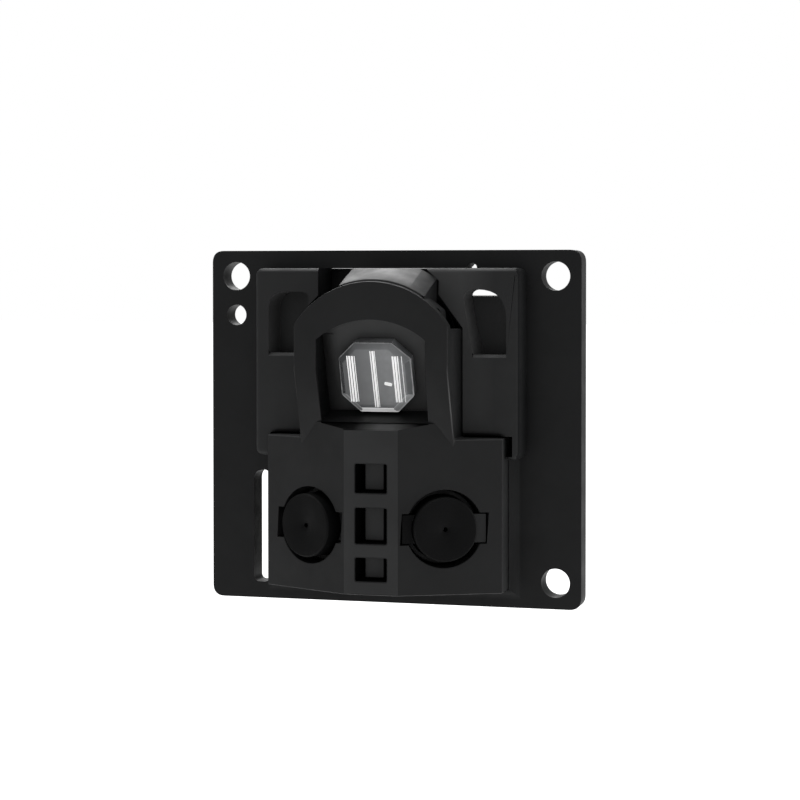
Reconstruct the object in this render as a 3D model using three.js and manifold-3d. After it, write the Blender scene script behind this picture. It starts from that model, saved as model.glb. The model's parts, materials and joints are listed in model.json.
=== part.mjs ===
// A solid-state lidar scanner module: a laser tower above two outward-turned cameras, all on one
// mounting plate, with the circuit board behind. Millimetres. The origin is on the plate's back
// face at the centre of its outline, +X to the right, +Y to the rear, +Z up, so the module looks
// along -Y.
import * as THREE from "three";
import { mergeVertices } from "three/addons/utils/BufferGeometryUtils.js";
import Module from "manifold-3d";

const wasm = await Module();
wasm.setup();

// ---------------------------------------------------------------- driving dimensions

const PLATE = { width: 32, height: 29.5, thickness: 2, corner: 1 };
const SCREW_HOLE = { diameter: 2.4, inset: 2.15 };
const LOCATING_HOLE = { diameter: 1.75, below: 5.45 };
const SEAM = 0.06; // gap round the optical block where it comes through the plate
const RUNNING = 0.05; // radial gap of a screwed-in lens barrel

// The raised deck on the plate, either side of the tower.
const DECK = { half: 11.4, bottom: -0.46, top: 13.26, proud: 2.2, round: 0.4 };
const DECK_FOOT = { inner: 9.9, bottom: -2.4 };
const POCKET = { outer: 10.2, bottom: 6.2, innerLow: 7.35, innerHigh: 6.75 };
const POCKET_TOP = { left: { z: 11.3, corner: 1.5 }, right: { z: 11.5, corner: 2.4 } };
const SILL = { height: 0.25, slope: THREE.MathUtils.degToRad(45) };
const SLIT = { left: 6.45, right: 9.4, bottom: 10.95 }; // through the plate at the right pocket's top
const NOTCH = { inner: 9.95, outer: 10.7, bottom: -2.15, floor: -1 };
const REBATE = { left: -11.1, right: 10.75, bottom: -13.45, top: 13.4, depth: 0.3 };
const SIDE_SLOT = { outer: -12.3, inner: -10.9, bottom: -13.4, top: -3.85, bigCorner: 0.85, corner: 0.5 };

// The camera block: a flat middle and a facet turned outwards on each side.
const CAMERA_TURN = THREE.MathUtils.degToRad(25);
const BLOCK = { half: 10.05, middleHalf: 2.27, edgeProud: 2.9, bottom: -13.15, top: -0.6, neckTop: 0.7 };
const COVE = 0.9; // hollow fillet where the plate rises to the camera block
const CAMERA_Z = -7.8;
const CAMERA_ALONG = 4.77; // from a facet's outer edge to its lens axis
const LENS_HOLE = { radius: 3.15, slotHalf: 3.58, slotHeight: 2.55 };
const BARREL = { radius: 2.6, proud: 0.6, length: 4.2, aperture: 0.28 };
const HOLDER_TAB = { half: 3.45, height: 2.3, left: 0.9, right: 0.12 };
const WINDOW_ROWS = [
  { bottom: -4.91, top: -2.56 },
  { bottom: -9.02, top: -6.11 },
  { bottom: -12.05, top: -10.15 },
];
const WINDOW = { half: 1.32, depth: 2.8, islandDepth: 1.05, leftGap: 0.52, rightGap: 0.5, lowGap: 0.16 };

// The laser tower leans forward, so that the laser line falls in front of the module.
const TOWER_LEAN = THREE.MathUtils.degToRad(20);
const TOWER = { half: 6.45, proud: 6.77, arcRadius: 7.64, arcCentre: 4.53, shell: 0.95, foot: -1.3 };
const HOOD = { left: -2.75, right: 4.4, top: 13.21, gap: 0.05 };
const TOWER_BODY = 5;
const LASER_AXIS = { proud: 6.39, z: 3.87 }; // where the laser axis crosses the tower's leaning face
const RECESS = { half: 4.55, bottom: -3.36, arcCentre: -2.6, arcRadius: 7.6, depth: 2.5 };
const RECESS_HOUSING = { half: 5.5, depth: 4.5 };
const TOWER_WALL_TOP = 8.3;
const GROOVE = { bottom: -4.3, top: 3.4, radius: 1.1 }; // at the recess's foot and left side
const LINE_LENS = { flats: 6.1, chamfer: 1.45, front: 1.1, bevel: 0.45, spigot: 2.95 };
const LENS_RIBS = [
  { x: -1.9, width: 0.65, half: 2 },
  { x: 0, width: 0.4, half: 2.45 },
  { x: 1.9, width: 0.5, half: 2 },
];
const SLEEVE = { radius: 4, front: 4.3, back: 10.8 };

// The frame behind the plate and the circuit board that closes it.
const FRAME = { half: 10.6, bottom: -13.3, top: 10.95, back: 5, wall: 1, front: -0.25, corner: 0.8 };
const LUG = { right: 4.9, top: 13.25 };
const BOARD = { front: 5.05, thickness: 0.8 };
const BOARD_SCREWS = [
  [-8.7, -11.4],
  [8.7, -11.4],
  [-8.7, 9],
  [8.7, 9],
];
const PLATE_SCREWS = [
  [-8.2, 2.6],
  [8.2, 2.6],
];
const SMALL_SCREW = { shank: 0.6, head: 1.25, headHeight: 0.7, pilot: 0.63 };

const BOARD_BACK = BOARD.front + BOARD.thickness;
const plateFront = -PLATE.thickness;
const proudY = (proud) => plateFront - proud;

// ---------------------------------------------------------------- materials

const finish = (color, roughness, metalness, extra = {}) => () =>
  new THREE.MeshStandardMaterial({ color, roughness, metalness, ...extra });

const blackPlastic = finish(0x1d1e20, 0.5, 0);
const barrelPlastic = finish(0x131416, 0.6, 0);
const clearPlastic = finish(0xe8edf0, 0.05, 0, { transparent: true, opacity: 0.4 });
const lensGlass = finish(0xbfd0d8, 0.02, 0, { transparent: true, opacity: 0.4 });
const filterGlass = finish(0x6a3a52, 0.02, 0, { transparent: true, opacity: 0.5 });
const brass = finish(0xb8974a, 0.35, 1);
const steel = finish(0xa9adb2, 0.3, 1);
const gold = finish(0xcaa34f, 0.3, 1);
const boardGreen = finish(0x16402a, 0.45, 0);
const flexAmber = finish(0xa86420, 0.45, 0);
const chipPlastic = finish(0x1b1b1d, 0.6, 0);
const socketPlastic = finish(0xe4dfd0, 0.5, 0);
const ferrite = finish(0x3b3c3e, 0.7, 0);
const tantalum = finish(0xc08b2e, 0.5, 0);

// ---------------------------------------------------------------- solids

// A closed three.js geometry as a manifold-3d solid.
function solid(geometry) {
  const bare = geometry.clone();
  bare.deleteAttribute("normal");
  bare.deleteAttribute("uv");
  const merged = mergeVertices(bare, 1e-4);
  return new wasm.Manifold(
    new wasm.Mesh({
      numProp: 3,
      vertProperties: merged.attributes.position.array,
      triVerts: new Uint32Array(merged.index.array),
    }),
  );
}

// A manifold-3d solid as a three.js geometry.
function geometryOf(body) {
  const mesh = body.getMesh();
  const geometry = new THREE.BufferGeometry();
  geometry.setAttribute("position", new THREE.BufferAttribute(new Float32Array(mesh.vertProperties), 3));
  geometry.setIndex(new THREE.BufferAttribute(new Uint32Array(mesh.triVerts), 1));
  geometry.computeVertexNormals();
  return geometry;
}

const join = (first, ...others) => others.reduce((sum, next) => sum.add(next), first);
const cut = (first, ...others) => others.reduce((rest, next) => rest.subtract(next), first);

// A geometry moved into a frame, as a solid.
const solidIn = (frame, geometry) => solid(geometry.clone().applyMatrix4(frame));

// A block between two corners.
function blockBetween([x0, y0, z0], [x1, y1, z1]) {
  const geometry = new THREE.BoxGeometry(x1 - x0, y1 - y0, z1 - z0);
  return geometry.translate((x0 + x1) / 2, (y0 + y1) / 2, (z0 + z1) / 2);
}

// An outline drawn in X and Z, as a slab from y = front to y = back. A rounded front keeps the
// outline at its foot and pulls the front edge in.
function slab(outline, front, back, round = 0, bevelSegments = 4) {
  const bevel = round
    ? { bevelEnabled: true, bevelThickness: round, bevelSize: round, bevelOffset: -round, bevelSegments }
    : { bevelEnabled: false };
  const geometry = new THREE.ExtrudeGeometry(outline, {
    depth: back - front - 2 * round,
    curveSegments: 10,
    ...bevel,
  });
  return geometry.rotateX(Math.PI / 2).translate(0, back - round, 0);
}

// An outline drawn in X and Y, as a column from z = bottom to z = top.
function column(outline, bottom, top) {
  const geometry = new THREE.ExtrudeGeometry(outline, { depth: top - bottom, bevelEnabled: false });
  return geometry.translate(0, 0, bottom);
}

// A round rod along Y.
function rod(radius, front, back, sides = 32) {
  return new THREE.CylinderGeometry(radius, radius, back - front, sides).translate(0, (front + back) / 2, 0);
}

// A turned piece about the Y axis, from (radius, y) points.
const turned = (points, sides = 40) =>
  new THREE.LatheGeometry(
    points.map(([radius, y]) => new THREE.Vector2(radius, y)),
    sides,
  );

// ---------------------------------------------------------------- outlines

const shapeOf = (points) => new THREE.Shape(points.map(([x, y]) => new THREE.Vector2(x, y)));

// A polygon with a radius at each corner, from [x, y, radius] corners listed anticlockwise.
function roundedOutline(corners) {
  const shape = new THREE.Shape();
  corners.forEach(([x, y, radius = 0], index) => {
    const here = new THREE.Vector2(x, y);
    const toward = (other) => {
      const direction = new THREE.Vector2(other[0], other[1]).sub(here).normalize();
      return direction.multiplyScalar(radius).add(here);
    };
    const start = toward(corners.at(index - 1));
    const end = toward(corners[(index + 1) % corners.length]);
    if (index === 0) shape.moveTo(start.x, start.y);
    else shape.lineTo(start.x, start.y);
    if (radius) shape.quadraticCurveTo(x, y, end.x, end.y);
  });
  return shape;
}

const rectangle = (x0, y0, x1, y1, radius = 0) =>
  roundedOutline([
    [x0, y0, radius],
    [x1, y0, radius],
    [x1, y1, radius],
    [x0, y1, radius],
  ]);

function circle(x, y, radius) {
  const shape = new THREE.Shape();
  shape.absarc(x, y, radius, 0, 2 * Math.PI);
  return shape;
}

const mirrored = (corners) => corners.map(([x, y, radius]) => [-x, y, radius]).reverse();

// An upright outline with straight sides and a bowed top, as the tower and its recess have.
function archOutline(half, bottom, arcCentre, arcRadius) {
  const shoulder = Math.asin(half / arcRadius);
  const shape = new THREE.Shape();
  shape.moveTo(-half, bottom);
  shape.lineTo(half, bottom);
  shape.absarc(0, arcCentre, arcRadius, Math.PI / 2 - shoulder, Math.PI / 2 + shoulder);
  return shape;
}

// A square with cut corners, such as the laser's line lens.
function octagonOutline(flats, chamfer) {
  const half = flats / 2;
  const short = half - chamfer;
  return shapeOf([
    [-short, -half],
    [short, -half],
    [half, -short],
    [half, short],
    [short, half],
    [-short, half],
    [-half, short],
    [-half, -short],
  ]);
}

// ---------------------------------------------------------------- frames

// The laser's own frame: on the tower's face, y inwards along the laser axis.
const laserFrame = new THREE.Matrix4()
  .makeRotationX(TOWER_LEAN)
  .setPosition(0, proudY(LASER_AXIS.proud), LASER_AXIS.z);

// A camera's own frame: on its facet, y inwards along the lens axis. side is -1 left, 1 right.
function cameraFrame(side) {
  const x = side * (BLOCK.half - CAMERA_ALONG * Math.cos(CAMERA_TURN));
  const proud = BLOCK.edgeProud + CAMERA_ALONG * Math.sin(CAMERA_TURN);
  return new THREE.Matrix4().makeRotationZ(side * CAMERA_TURN).setPosition(x, proudY(proud), CAMERA_Z);
}

const sides = { left: -1, right: 1 };

// ---------------------------------------------------------------- the plate

const holeX = PLATE.width / 2 - SCREW_HOLE.inset;
const holeZ = PLATE.height / 2 - SCREW_HOLE.inset;

function plateOutline() {
  const halfWidth = PLATE.width / 2;
  const halfHeight = PLATE.height / 2;
  const outline = rectangle(-halfWidth, -halfHeight, halfWidth, halfHeight, PLATE.corner);
  const screwHole = SCREW_HOLE.diameter / 2;
  outline.holes.push(circle(-holeX, holeZ, screwHole));
  outline.holes.push(circle(holeX, holeZ, screwHole));
  outline.holes.push(circle(holeX, -holeZ, screwHole));
  outline.holes.push(circle(-holeX, halfHeight - LOCATING_HOLE.below, LOCATING_HOLE.diameter / 2));
  return outline;
}

// The deck covers the upper half of the plate and has a short foot at each side.
function deckOutline() {
  const right = [
    [DECK_FOOT.inner, DECK.bottom],
    [DECK_FOOT.inner, DECK_FOOT.bottom, 0.7],
    [DECK.half, DECK_FOOT.bottom, 0.7],
    [DECK.half, DECK.top, 0.7],
  ];
  return roundedOutline([...right, ...mirrored(right)]);
}

// The opening that the tower leans out of.
function towerOpening(top) {
  return shapeOf([
    [-6.65, BLOCK.bottom],
    [6.55, BLOCK.bottom],
    [6.55, 8.35],
    [4.5, 11.1],
    [4.55, 12.2],
    [3.4, 13.25],
    [3.4, top],
    [-5.85, top],
    [-5.85, 11],
    [-6.65, 10.2],
  ]);
}

function pocketCorners({ z, corner }) {
  return [
    [POCKET.innerLow, POCKET.bottom, 0],
    [POCKET.outer, POCKET.bottom, 0],
    [POCKET.outer, z, corner],
    [POCKET.innerHigh - 0.2, z, 0.9],
    [POCKET.innerHigh, 9.8, 0],
  ];
}

// What a pocket's sloping sill takes away below its foot, between two sides.
function pocketSill(x0, x1) {
  const slope = new THREE.Matrix4().makeRotationX(SILL.slope);
  slope.setPosition(0, proudY(DECK.proud) + SILL.height / Math.tan(SILL.slope), POCKET.bottom);
  return solidIn(slope, blockBetween([x0, -1, 0], [x1, 0, 0.5]));
}

// The plate rises in a hollow fillet to the camera block that comes through it.
function blockCove() {
  const outline = rectangle(-BLOCK.half, BLOCK.bottom, BLOCK.half, DECK_FOOT.bottom + 0.1);
  const flared = new THREE.ExtrudeGeometry(outline, {
    depth: 1,
    bevelThickness: COVE,
    bevelSize: -COVE,
    bevelOffset: COVE + 0.05,
    bevelSegments: 6,
  });
  flared.rotateX(Math.PI / 2).translate(0, plateFront - COVE, 0);
  const rising = solid(blockBetween([-20, plateFront - COVE, -20], [20, plateFront + 1, 20]));
  return solid(flared).intersect(rising);
}

// The slot beside the camera block, with one large corner.
function sideSlotOutline() {
  const { outer, inner, bottom, top, bigCorner, corner } = SIDE_SLOT;
  return roundedOutline([
    [outer, bottom, corner],
    [inner, bottom, corner],
    [inner, top, corner],
    [outer, top, bigCorner],
  ]);
}

// A half-round peephole through the plate just above the deck.
function peephole() {
  const shape = new THREE.Shape();
  shape.absarc(6.8, DECK.top, 0.42, 0, Math.PI);
  return shape;
}

function frontPlate() {
  const through = [plateFront - DECK.proud - 1, 1];
  const plate = solid(slab(plateOutline(), plateFront, 0));
  const deck = solid(slab(deckOutline(), proudY(DECK.proud), plateFront + 2 * DECK.round, DECK.round));
  const blockOpening = rectangle(
    -BLOCK.half - SEAM,
    BLOCK.bottom - SEAM,
    BLOCK.half + SEAM,
    DECK.bottom,
  );
  const notch = rectangle(NOTCH.inner, NOTCH.bottom, NOTCH.outer, DECK.bottom);
  const slit = rectangle(SLIT.left, SLIT.bottom, SLIT.right, POCKET_TOP.right.z);
  const rebate = blockBetween(
    [REBATE.left, -REBATE.depth, REBATE.bottom],
    [REBATE.right, 1, REBATE.top],
  );
  const pilots = PLATE_SCREWS.map(([x, z]) =>
    solid(rod(SMALL_SCREW.pilot, plateFront - 0.8, 1, 16).translate(x, 0, z)),
  );
  return cut(
    join(plate, deck, blockCove()),
    solid(slab(blockOpening, ...through)),
    solid(slab(towerOpening(DECK.top), ...through)),
    solid(slab(towerOpening(PLATE.height), through[0], plateFront)),
    solid(slab(roundedOutline(pocketCorners(POCKET_TOP.right)), through[0], plateFront)),
    solid(slab(roundedOutline(mirrored(pocketCorners(POCKET_TOP.left))), through[0], plateFront)),
    solid(slab(slit, plateFront - 0.1, 1)),
    pocketSill(POCKET.innerLow, POCKET.outer),
    pocketSill(-POCKET.outer, -POCKET.innerLow),
    solid(rebate),
    solid(slab(sideSlotOutline(), ...through)),
    solid(slab(peephole(), ...through)),
    solid(slab(notch, through[0], NOTCH.floor)),
    ...pilots,
  );
}

// ---------------------------------------------------------------- the optical block

function cameraBlockOutline(half) {
  const edgeY = (x) => proudY(BLOCK.edgeProud + (BLOCK.half - x) * Math.tan(CAMERA_TURN));
  const root = FRAME.wall;
  return shapeOf([
    [-half, edgeY(half)],
    [-BLOCK.middleHalf, edgeY(BLOCK.middleHalf)],
    [BLOCK.middleHalf, edgeY(BLOCK.middleHalf)],
    [half, edgeY(half)],
    [half, root],
    [-half, root],
  ]);
}

// The tower's front as a deep solid: an arch, upright above the crease and leaning back below it.
function towerFront() {
  const arch = archOutline(TOWER.half, TOWER.foot, TOWER.arcCentre, TOWER.arcRadius);
  const beforeFace = blockBetween([-12, -12, -12], [12, 0, 12]);
  return cut(solid(slab(arch, proudY(TOWER.proud), plateFront)), solidIn(laserFrame, beforeFace));
}

// The hood slopes up from the tower's arch to the deck along the laser's direction.
function hood() {
  const { left, right, top, gap } = HOOD;
  const { arcCentre, arcRadius } = TOWER;
  const shape = new THREE.Shape();
  shape.moveTo(left, arcCentre);
  shape.lineTo(right, arcCentre);
  shape.absarc(0, arcCentre, arcRadius, Math.acos(right / arcRadius), Math.acos(left / arcRadius));
  const start = proudY(TOWER.proud) + TOWER.shell / 2;
  const geometry = slab(shape, start, proudY(DECK.proud) - gap);
  const place = geometry.attributes.position;
  for (let i = 0; i < place.count; i++) {
    const back = place.getY(i) - proudY(TOWER.proud);
    place.setZ(i, place.getZ(i) + back * Math.tan(TOWER_LEAN));
  }
  return solid(geometry).intersect(solid(blockBetween([-20, -20, 0], [20, 20, top])));
}

// The leaning tower: a thin arched face on two side walls, the housing of its recess, the hood and
// the laser's body.
function tower() {
  const front = towerFront();
  const shell = cut(front, front.translate([0, TOWER.shell, 0]));
  const { half, depth } = RECESS_HOUSING;
  const housing = front.intersect(solidIn(laserFrame, blockBetween([-half, -1, -8], [half, depth, 12])));
  const walls = [-1, 1].map((side) => {
    const [left, right] = [side * (half - 0.1), side * TOWER.half].sort((a, b) => a - b);
    return front.intersect(solid(blockBetween([left, -20, TOWER.foot], [right, 0, TOWER_WALL_TOP])));
  });
  const round = archOutline(TOWER_BODY, -6, 0, TOWER_BODY);
  const limits = solid(blockBetween([-20, -20, BLOCK.top - 1], [20, FRAME.wall, HOOD.top]));
  const body = solidIn(laserFrame, slab(round, 2, 14)).intersect(limits);
  return join(shell, housing, ...walls, hood(), body);
}

// The outline of the rear frame and the circuit board, drawn in by an inset.
function frameOutline(inset) {
  const corner = FRAME.corner;
  return roundedOutline([
    [-FRAME.half + inset, FRAME.bottom + inset, corner],
    [FRAME.half - inset, FRAME.bottom + inset, corner],
    [FRAME.half - inset, FRAME.top - inset, corner],
    [LUG.right - inset, FRAME.top - inset, 0],
    [LUG.right - inset, LUG.top - inset, corner],
    [-FRAME.half + inset, LUG.top - inset, corner],
  ]);
}

function rearFrame() {
  const shell = cut(
    solid(slab(frameOutline(0), FRAME.front, FRAME.back)),
    solid(slab(frameOutline(FRAME.wall), FRAME.wall, FRAME.back + 1)),
  );
  const posts = BOARD_SCREWS.map(([x, z]) =>
    solid(rod(1.5, FRAME.wall - 0.4, FRAME.back, 24).translate(x, 0, z)),
  );
  return join(shell, ...posts);
}

// What is cut away round one camera: the lens hole, its two side slots and the space for the
// lens holder and the camera's board behind.
function cameraCuts(side) {
  const frame = cameraFrame(side);
  const { radius, slotHalf, slotHeight } = LENS_HOLE;
  const holderSpace = side > 0 ? [-3.3, 3.9] : [-3.9, 3.3];
  return [
    solidIn(frame, rod(radius, -1, 5, 48)),
    solidIn(frame, blockBetween([-slotHalf, -1, -slotHeight / 2], [slotHalf, 5, slotHeight / 2])),
    solidIn(frame, blockBetween([holderSpace[0], 4.55, -4.3], [holderSpace[1], 14, 4.3])),
  ];
}

// The windows in the flat middle: each is a pocket with an island standing in it.
function windowCuts() {
  const middleProud = BLOCK.edgeProud + (BLOCK.half - BLOCK.middleHalf) * Math.tan(CAMERA_TURN);
  const front = proudY(middleProud);
  return WINDOW_ROWS.map(({ bottom, top }) => {
    const pocket = blockBetween([-WINDOW.half, front - 1, bottom], [WINDOW.half, front + WINDOW.depth, top]);
    const island = blockBetween(
      [-WINDOW.half + WINDOW.leftGap, front + WINDOW.islandDepth, bottom + WINDOW.lowGap],
      [WINDOW.half - WINDOW.rightGap, front + WINDOW.depth, top],
    );
    return cut(solid(pocket), solid(island));
  });
}

// Grooves along the foot and the left side of the recess, with the floor rounded over into them.
function recessGrooves() {
  const { half, depth } = RECESS;
  const { bottom, top, radius } = GROOVE;
  const deep = depth + radius;
  const side = new THREE.Shape();
  side.moveTo(-half, depth - 0.1);
  side.lineTo(radius - half, depth - 0.1);
  side.lineTo(radius - half, depth);
  side.absarc(radius - half, deep, radius, -Math.PI / 2, -Math.PI, true);
  const foot = new THREE.Shape();
  foot.moveTo(0, RECESS.bottom + 0.1);
  foot.lineTo(0, bottom);
  foot.lineTo(deep, bottom);
  foot.absarc(deep, bottom + radius, radius, -Math.PI / 2, -Math.PI, true);
  foot.lineTo(depth, RECESS.bottom + 0.1);
  const along = new THREE.ExtrudeGeometry(foot, { depth: 2 * half, bevelEnabled: false });
  const basis = new THREE.Matrix4().makeBasis(
    new THREE.Vector3(0, 1, 0),
    new THREE.Vector3(0, 0, 1),
    new THREE.Vector3(1, 0, 0),
  );
  along.translate(0, 0, -half).applyMatrix4(basis);
  return [solidIn(laserFrame, column(side, bottom, top)), solidIn(laserFrame, along)];
}

// The laser's recess, lens seat, light window and sleeve bore.
function laserCuts() {
  const recess = archOutline(RECESS.half, RECESS.bottom, RECESS.arcCentre, RECESS.arcRadius);
  const cavityEnd = 12.3;
  return [
    solidIn(laserFrame, slab(recess, -4, RECESS.depth)),
    ...recessGrooves(),
    solidIn(laserFrame, rod(LINE_LENS.spigot + RUNNING, 2, SLEEVE.front, 48)),
    solidIn(laserFrame, rod(SLEEVE.radius + RUNNING, SLEEVE.front - 0.05, cavityEnd, 48)),
  ];
}

function opticalBlock() {
  const lower = solid(column(cameraBlockOutline(BLOCK.half), BLOCK.bottom, BLOCK.top));
  const neck = solid(column(cameraBlockOutline(TOWER.half), BLOCK.top - 1, BLOCK.neckTop));
  const pilots = BOARD_SCREWS.map(([x, z]) =>
    solid(rod(SMALL_SCREW.pilot, 1.4, FRAME.back + 1, 16).translate(x, 0, z)),
  );
  const clearances = PLATE_SCREWS.map(([x, z]) =>
    solid(rod(SMALL_SCREW.shank + 0.15, -1, FRAME.wall + 1, 16).translate(x, 0, z)),
  );
  return cut(
    join(lower, neck, tower(), rearFrame()),
    ...cameraCuts(sides.left),
    ...cameraCuts(sides.right),
    ...windowCuts(),
    ...laserCuts(),
    ...pilots,
    ...clearances,
  );
}

// ---------------------------------------------------------------- the laser's pieces, in its frame

// The clear lens that spreads the beam into a line: upright ribs on an eight-sided block, with a
// round spigot behind that turns in the tower's bore.
function lineLens() {
  const { flats, chamfer, front, bevel, spigot } = LINE_LENS;
  const back = RECESS.depth - RUNNING;
  const outline = octagonOutline(flats, chamfer);
  const block = join(
    solid(slab(outline, front, back, bevel, 1)),
    solid(slab(outline, front + bevel, back)),
    solid(rod(spigot, front + bevel, SLEEVE.front - RUNNING, 48)),
  );
  const ribs = LENS_RIBS.map(({ x, width, half }) => {
    const ridge = new THREE.CylinderGeometry(width / 2, width / 2, 2 * half, 16);
    return solid(ridge.rotateX(Math.PI / 2).translate(x, front + 0.05, 0));
  });
  return geometryOf(join(block, ...ribs));
}

const laserSleeve = () => {
  const { radius, front, back } = SLEEVE;
  return turned([
    [3.05, front],
    [radius, front],
    [radius, back - 0.3],
    [radius - 0.3, back],
    [2.85, back],
    [2.85, 8.95],
    [2.3, 8.95],
    [2.3, 7.2],
    [3.05, 7.2],
    [3.05, front],
  ], 48);
};

const collimatorBarrel = () =>
  turned([
    [1.9, 4.55],
    [3, 4.55],
    [3, 6.35],
    [2.15, 6.35],
    [2.15, 4.95],
    [1.9, 4.95],
    [1.9, 4.55],
  ]);

// A lens with a bowed front and back.
function bowedLens(radius, front, back, bow) {
  const steps = 6;
  const arc = (y, towards) =>
    Array.from({ length: steps + 1 }, (_, i) => {
      const share = i / steps;
      return [radius * share, y - towards * bow * (1 - share * share)];
    });
  return turned([...arc(front + bow, 1), ...arc(back - bow, -1).reverse()]);
}

const collimatorLens = () => bowedLens(2.1, 5, 6.25, 0.35);

const laserDiode = () =>
  turned([
    [0, 6.75],
    [1.6, 6.75],
    [1.75, 6.9],
    [1.75, 9],
    [2.8, 9],
    [2.8, 10.2],
    [0, 10.2],
  ]);

// The diode's three leads stand on one circle.
const PIN_CIRCLE = 1.27;
const pinPlaces = [90, 210, 330].map((degrees) => {
  const angle = THREE.MathUtils.degToRad(degrees);
  return [PIN_CIRCLE * Math.cos(angle), PIN_CIRCLE * Math.sin(angle)];
});

const laserPin = ([x, z]) => rod(0.22, 10.23, 12.1, 12).translate(x, 0, z);

function laserBoard() {
  const outline = circle(0, 0, 3.5);
  pinPlaces.forEach(([x, z]) => outline.holes.push(circle(x, z, 0.3)));
  return slab(outline, 11.1, 11.7);
}

// ---------------------------------------------------------------- a camera's pieces, in its frame

// The screwed lens barrel: a flat front with a pinhole, open behind.
function cameraBarrel() {
  const { radius, proud, length, aperture } = BARREL;
  const back = length - proud;
  return turned([
    [aperture, -proud],
    [radius - 0.15, -proud],
    [radius, 0.15 - proud],
    [radius, back],
    [1.9, back],
    [1.9, 0.7],
    [1.2, 0.7],
    [aperture, 0.1 - proud],
    [aperture, -proud],
  ], 56);
}

const cameraLens = () => bowedLens(1.85, 0.8, 2.3, 0.3);

const cameraRetainer = () =>
  turned([
    [1.2, 2.4],
    [1.85, 2.4],
    [1.85, 3.1],
    [1.35, 3.1],
    [1.2, 2.4],
  ]);

// The holder that the barrel screws into: a collar, two side tabs and a square foot.
function cameraHolder(side) {
  const collar = solid(rod(3, 1.7, 4.7, 48));
  const { half, height } = HOLDER_TAB;
  const front = side > 0 ? HOLDER_TAB.right : HOLDER_TAB.left;
  const tabs = solid(blockBetween([-half, front, -height / 2], [half, 4.7, height / 2]));
  const footSpan = side > 0 ? [-3.05, 3.2] : [-3.2, 3.05];
  const foot = solid(blockBetween([footSpan[0], 4.6, -3.2], [footSpan[1], 6.1, 3.2]));
  return geometryOf(
    cut(
      join(collar, tabs, foot),
      solid(rod(BARREL.radius + RUNNING, -1, 4.4, 56)),
      solid(rod(1.9, 4, 5.5)),
      solid(blockBetween([-2.2, 4.95, -2.2], [2.2, 7, 2.2])),
    ),
  );
}

const cameraFilter = () => blockBetween([-2.15, 5, -2.15], [2.15, 5.3, 2.15]);

const cameraSensor = () => blockBetween([-1.7, 5.6, -1.5], [1.7, 6.12, 1.5]);

const cameraBoard = (side) => {
  const span = side > 0 ? [-2.7, 3.7] : [-3.7, 2.7];
  return blockBetween([span[0], 6.15, -4], [span[1], 6.75, 4]);
};

// ---------------------------------------------------------------- the ribbons between the boards

// A flat ribbon along a curve, whose width turns from one direction to another on the way.
function ribbon(curve, widthFrom, widthTo, width, thickness = 0.16) {
  const steps = 14;
  const geometry = new THREE.BoxGeometry(width, thickness, 1, 1, 1, steps);
  const place = geometry.attributes.position;
  for (let i = 0; i < place.count; i++) {
    const along = place.getZ(i) + 0.5;
    const across = widthFrom.clone().lerp(widthTo, along).normalize();
    const tangent = curve.getTangent(along);
    const normal = tangent.clone().cross(across).normalize();
    const point = curve.getPoint(along);
    point.addScaledVector(across, place.getX(i)).addScaledVector(normal, place.getY(i));
    place.setXYZ(i, point.x, point.y, point.z);
  }
  return geometry;
}

const rearward = new THREE.Vector3(0, 1, 0);
const sideways = new THREE.Vector3(1, 0, 0);
const SOCKET = { front: 4.1, width: 4.2, height: 1.5 };
const cameraSocketPlace = (side) => [side * 2.6, -10.3];
const laserSocketPlace = [0, 3];

// A ribbon from a point of a frame to the socket on the circuit board.
function ribbonTo([socketX, socketZ], frame, [x, y, z], width) {
  const start = new THREE.Vector3(x, y, z).applyMatrix4(frame);
  const end = new THREE.Vector3(socketX, SOCKET.front - 0.3, socketZ);
  const leaving = rearward.clone().transformDirection(frame);
  const across = sideways.clone().transformDirection(frame);
  const reach = 1.6;
  const curve = new THREE.CubicBezierCurve3(
    start,
    start.clone().addScaledVector(leaving, reach),
    end.clone().addScaledVector(rearward, -reach),
    end,
  );
  return ribbon(curve, across, sideways, width);
}

const cameraRibbon = (side) => ribbonTo(cameraSocketPlace(side), cameraFrame(side), [0, 7.05, -2.6], 3);

const laserRibbon = () => ribbonTo(laserSocketPlace, laserFrame, [0, 12, -2.6], 3);

const ribbonSocket = ([x, z]) =>
  blockBetween(
    [x - SOCKET.width / 2, SOCKET.front, z - SOCKET.height / 2],
    [x + SOCKET.width / 2, BOARD.front, z + SOCKET.height / 2],
  );

// ---------------------------------------------------------------- the circuit board

function mainBoard() {
  const board = solid(slab(frameOutline(0), BOARD.front, BOARD_BACK));
  const holes = BOARD_SCREWS.map(([x, z]) => solid(rod(0.85, 4, 8, 20).translate(x, 0, z)));
  return geometryOf(cut(board, ...holes));
}

// A chip or other part standing on the board's rear face.
const onBoard = (x, z, width, height, thickness) =>
  blockBetween(
    [x - width / 2, BOARD_BACK, z - height / 2],
    [x + width / 2, BOARD_BACK + thickness, z + height / 2],
  );

// A cable socket that opens downwards, with its contacts inside.
const CABLE_SOCKET = { half: 3.9, bottom: -13.2, top: -8.9, height: 3.1, pitch: 1.25, contacts: 4 };

function cableSocket() {
  const { half, bottom, top, height } = CABLE_SOCKET;
  const shell = solid(blockBetween([-half, BOARD_BACK, bottom], [half, BOARD_BACK + height, top]));
  const mouth = solid(
    blockBetween([-half + 0.7, BOARD_BACK + 0.6, bottom - 1], [half - 0.7, BOARD_BACK + height - 0.6, top - 0.9]),
  );
  const keyways = [-1, 1].map((side) =>
    solid(blockBetween([side * 2 - 0.4, BOARD_BACK + 2, bottom - 1], [side * 2 + 0.4, BOARD_BACK + 5, top - 2.2])),
  );
  return geometryOf(cut(shell, mouth, ...keyways));
}

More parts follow.
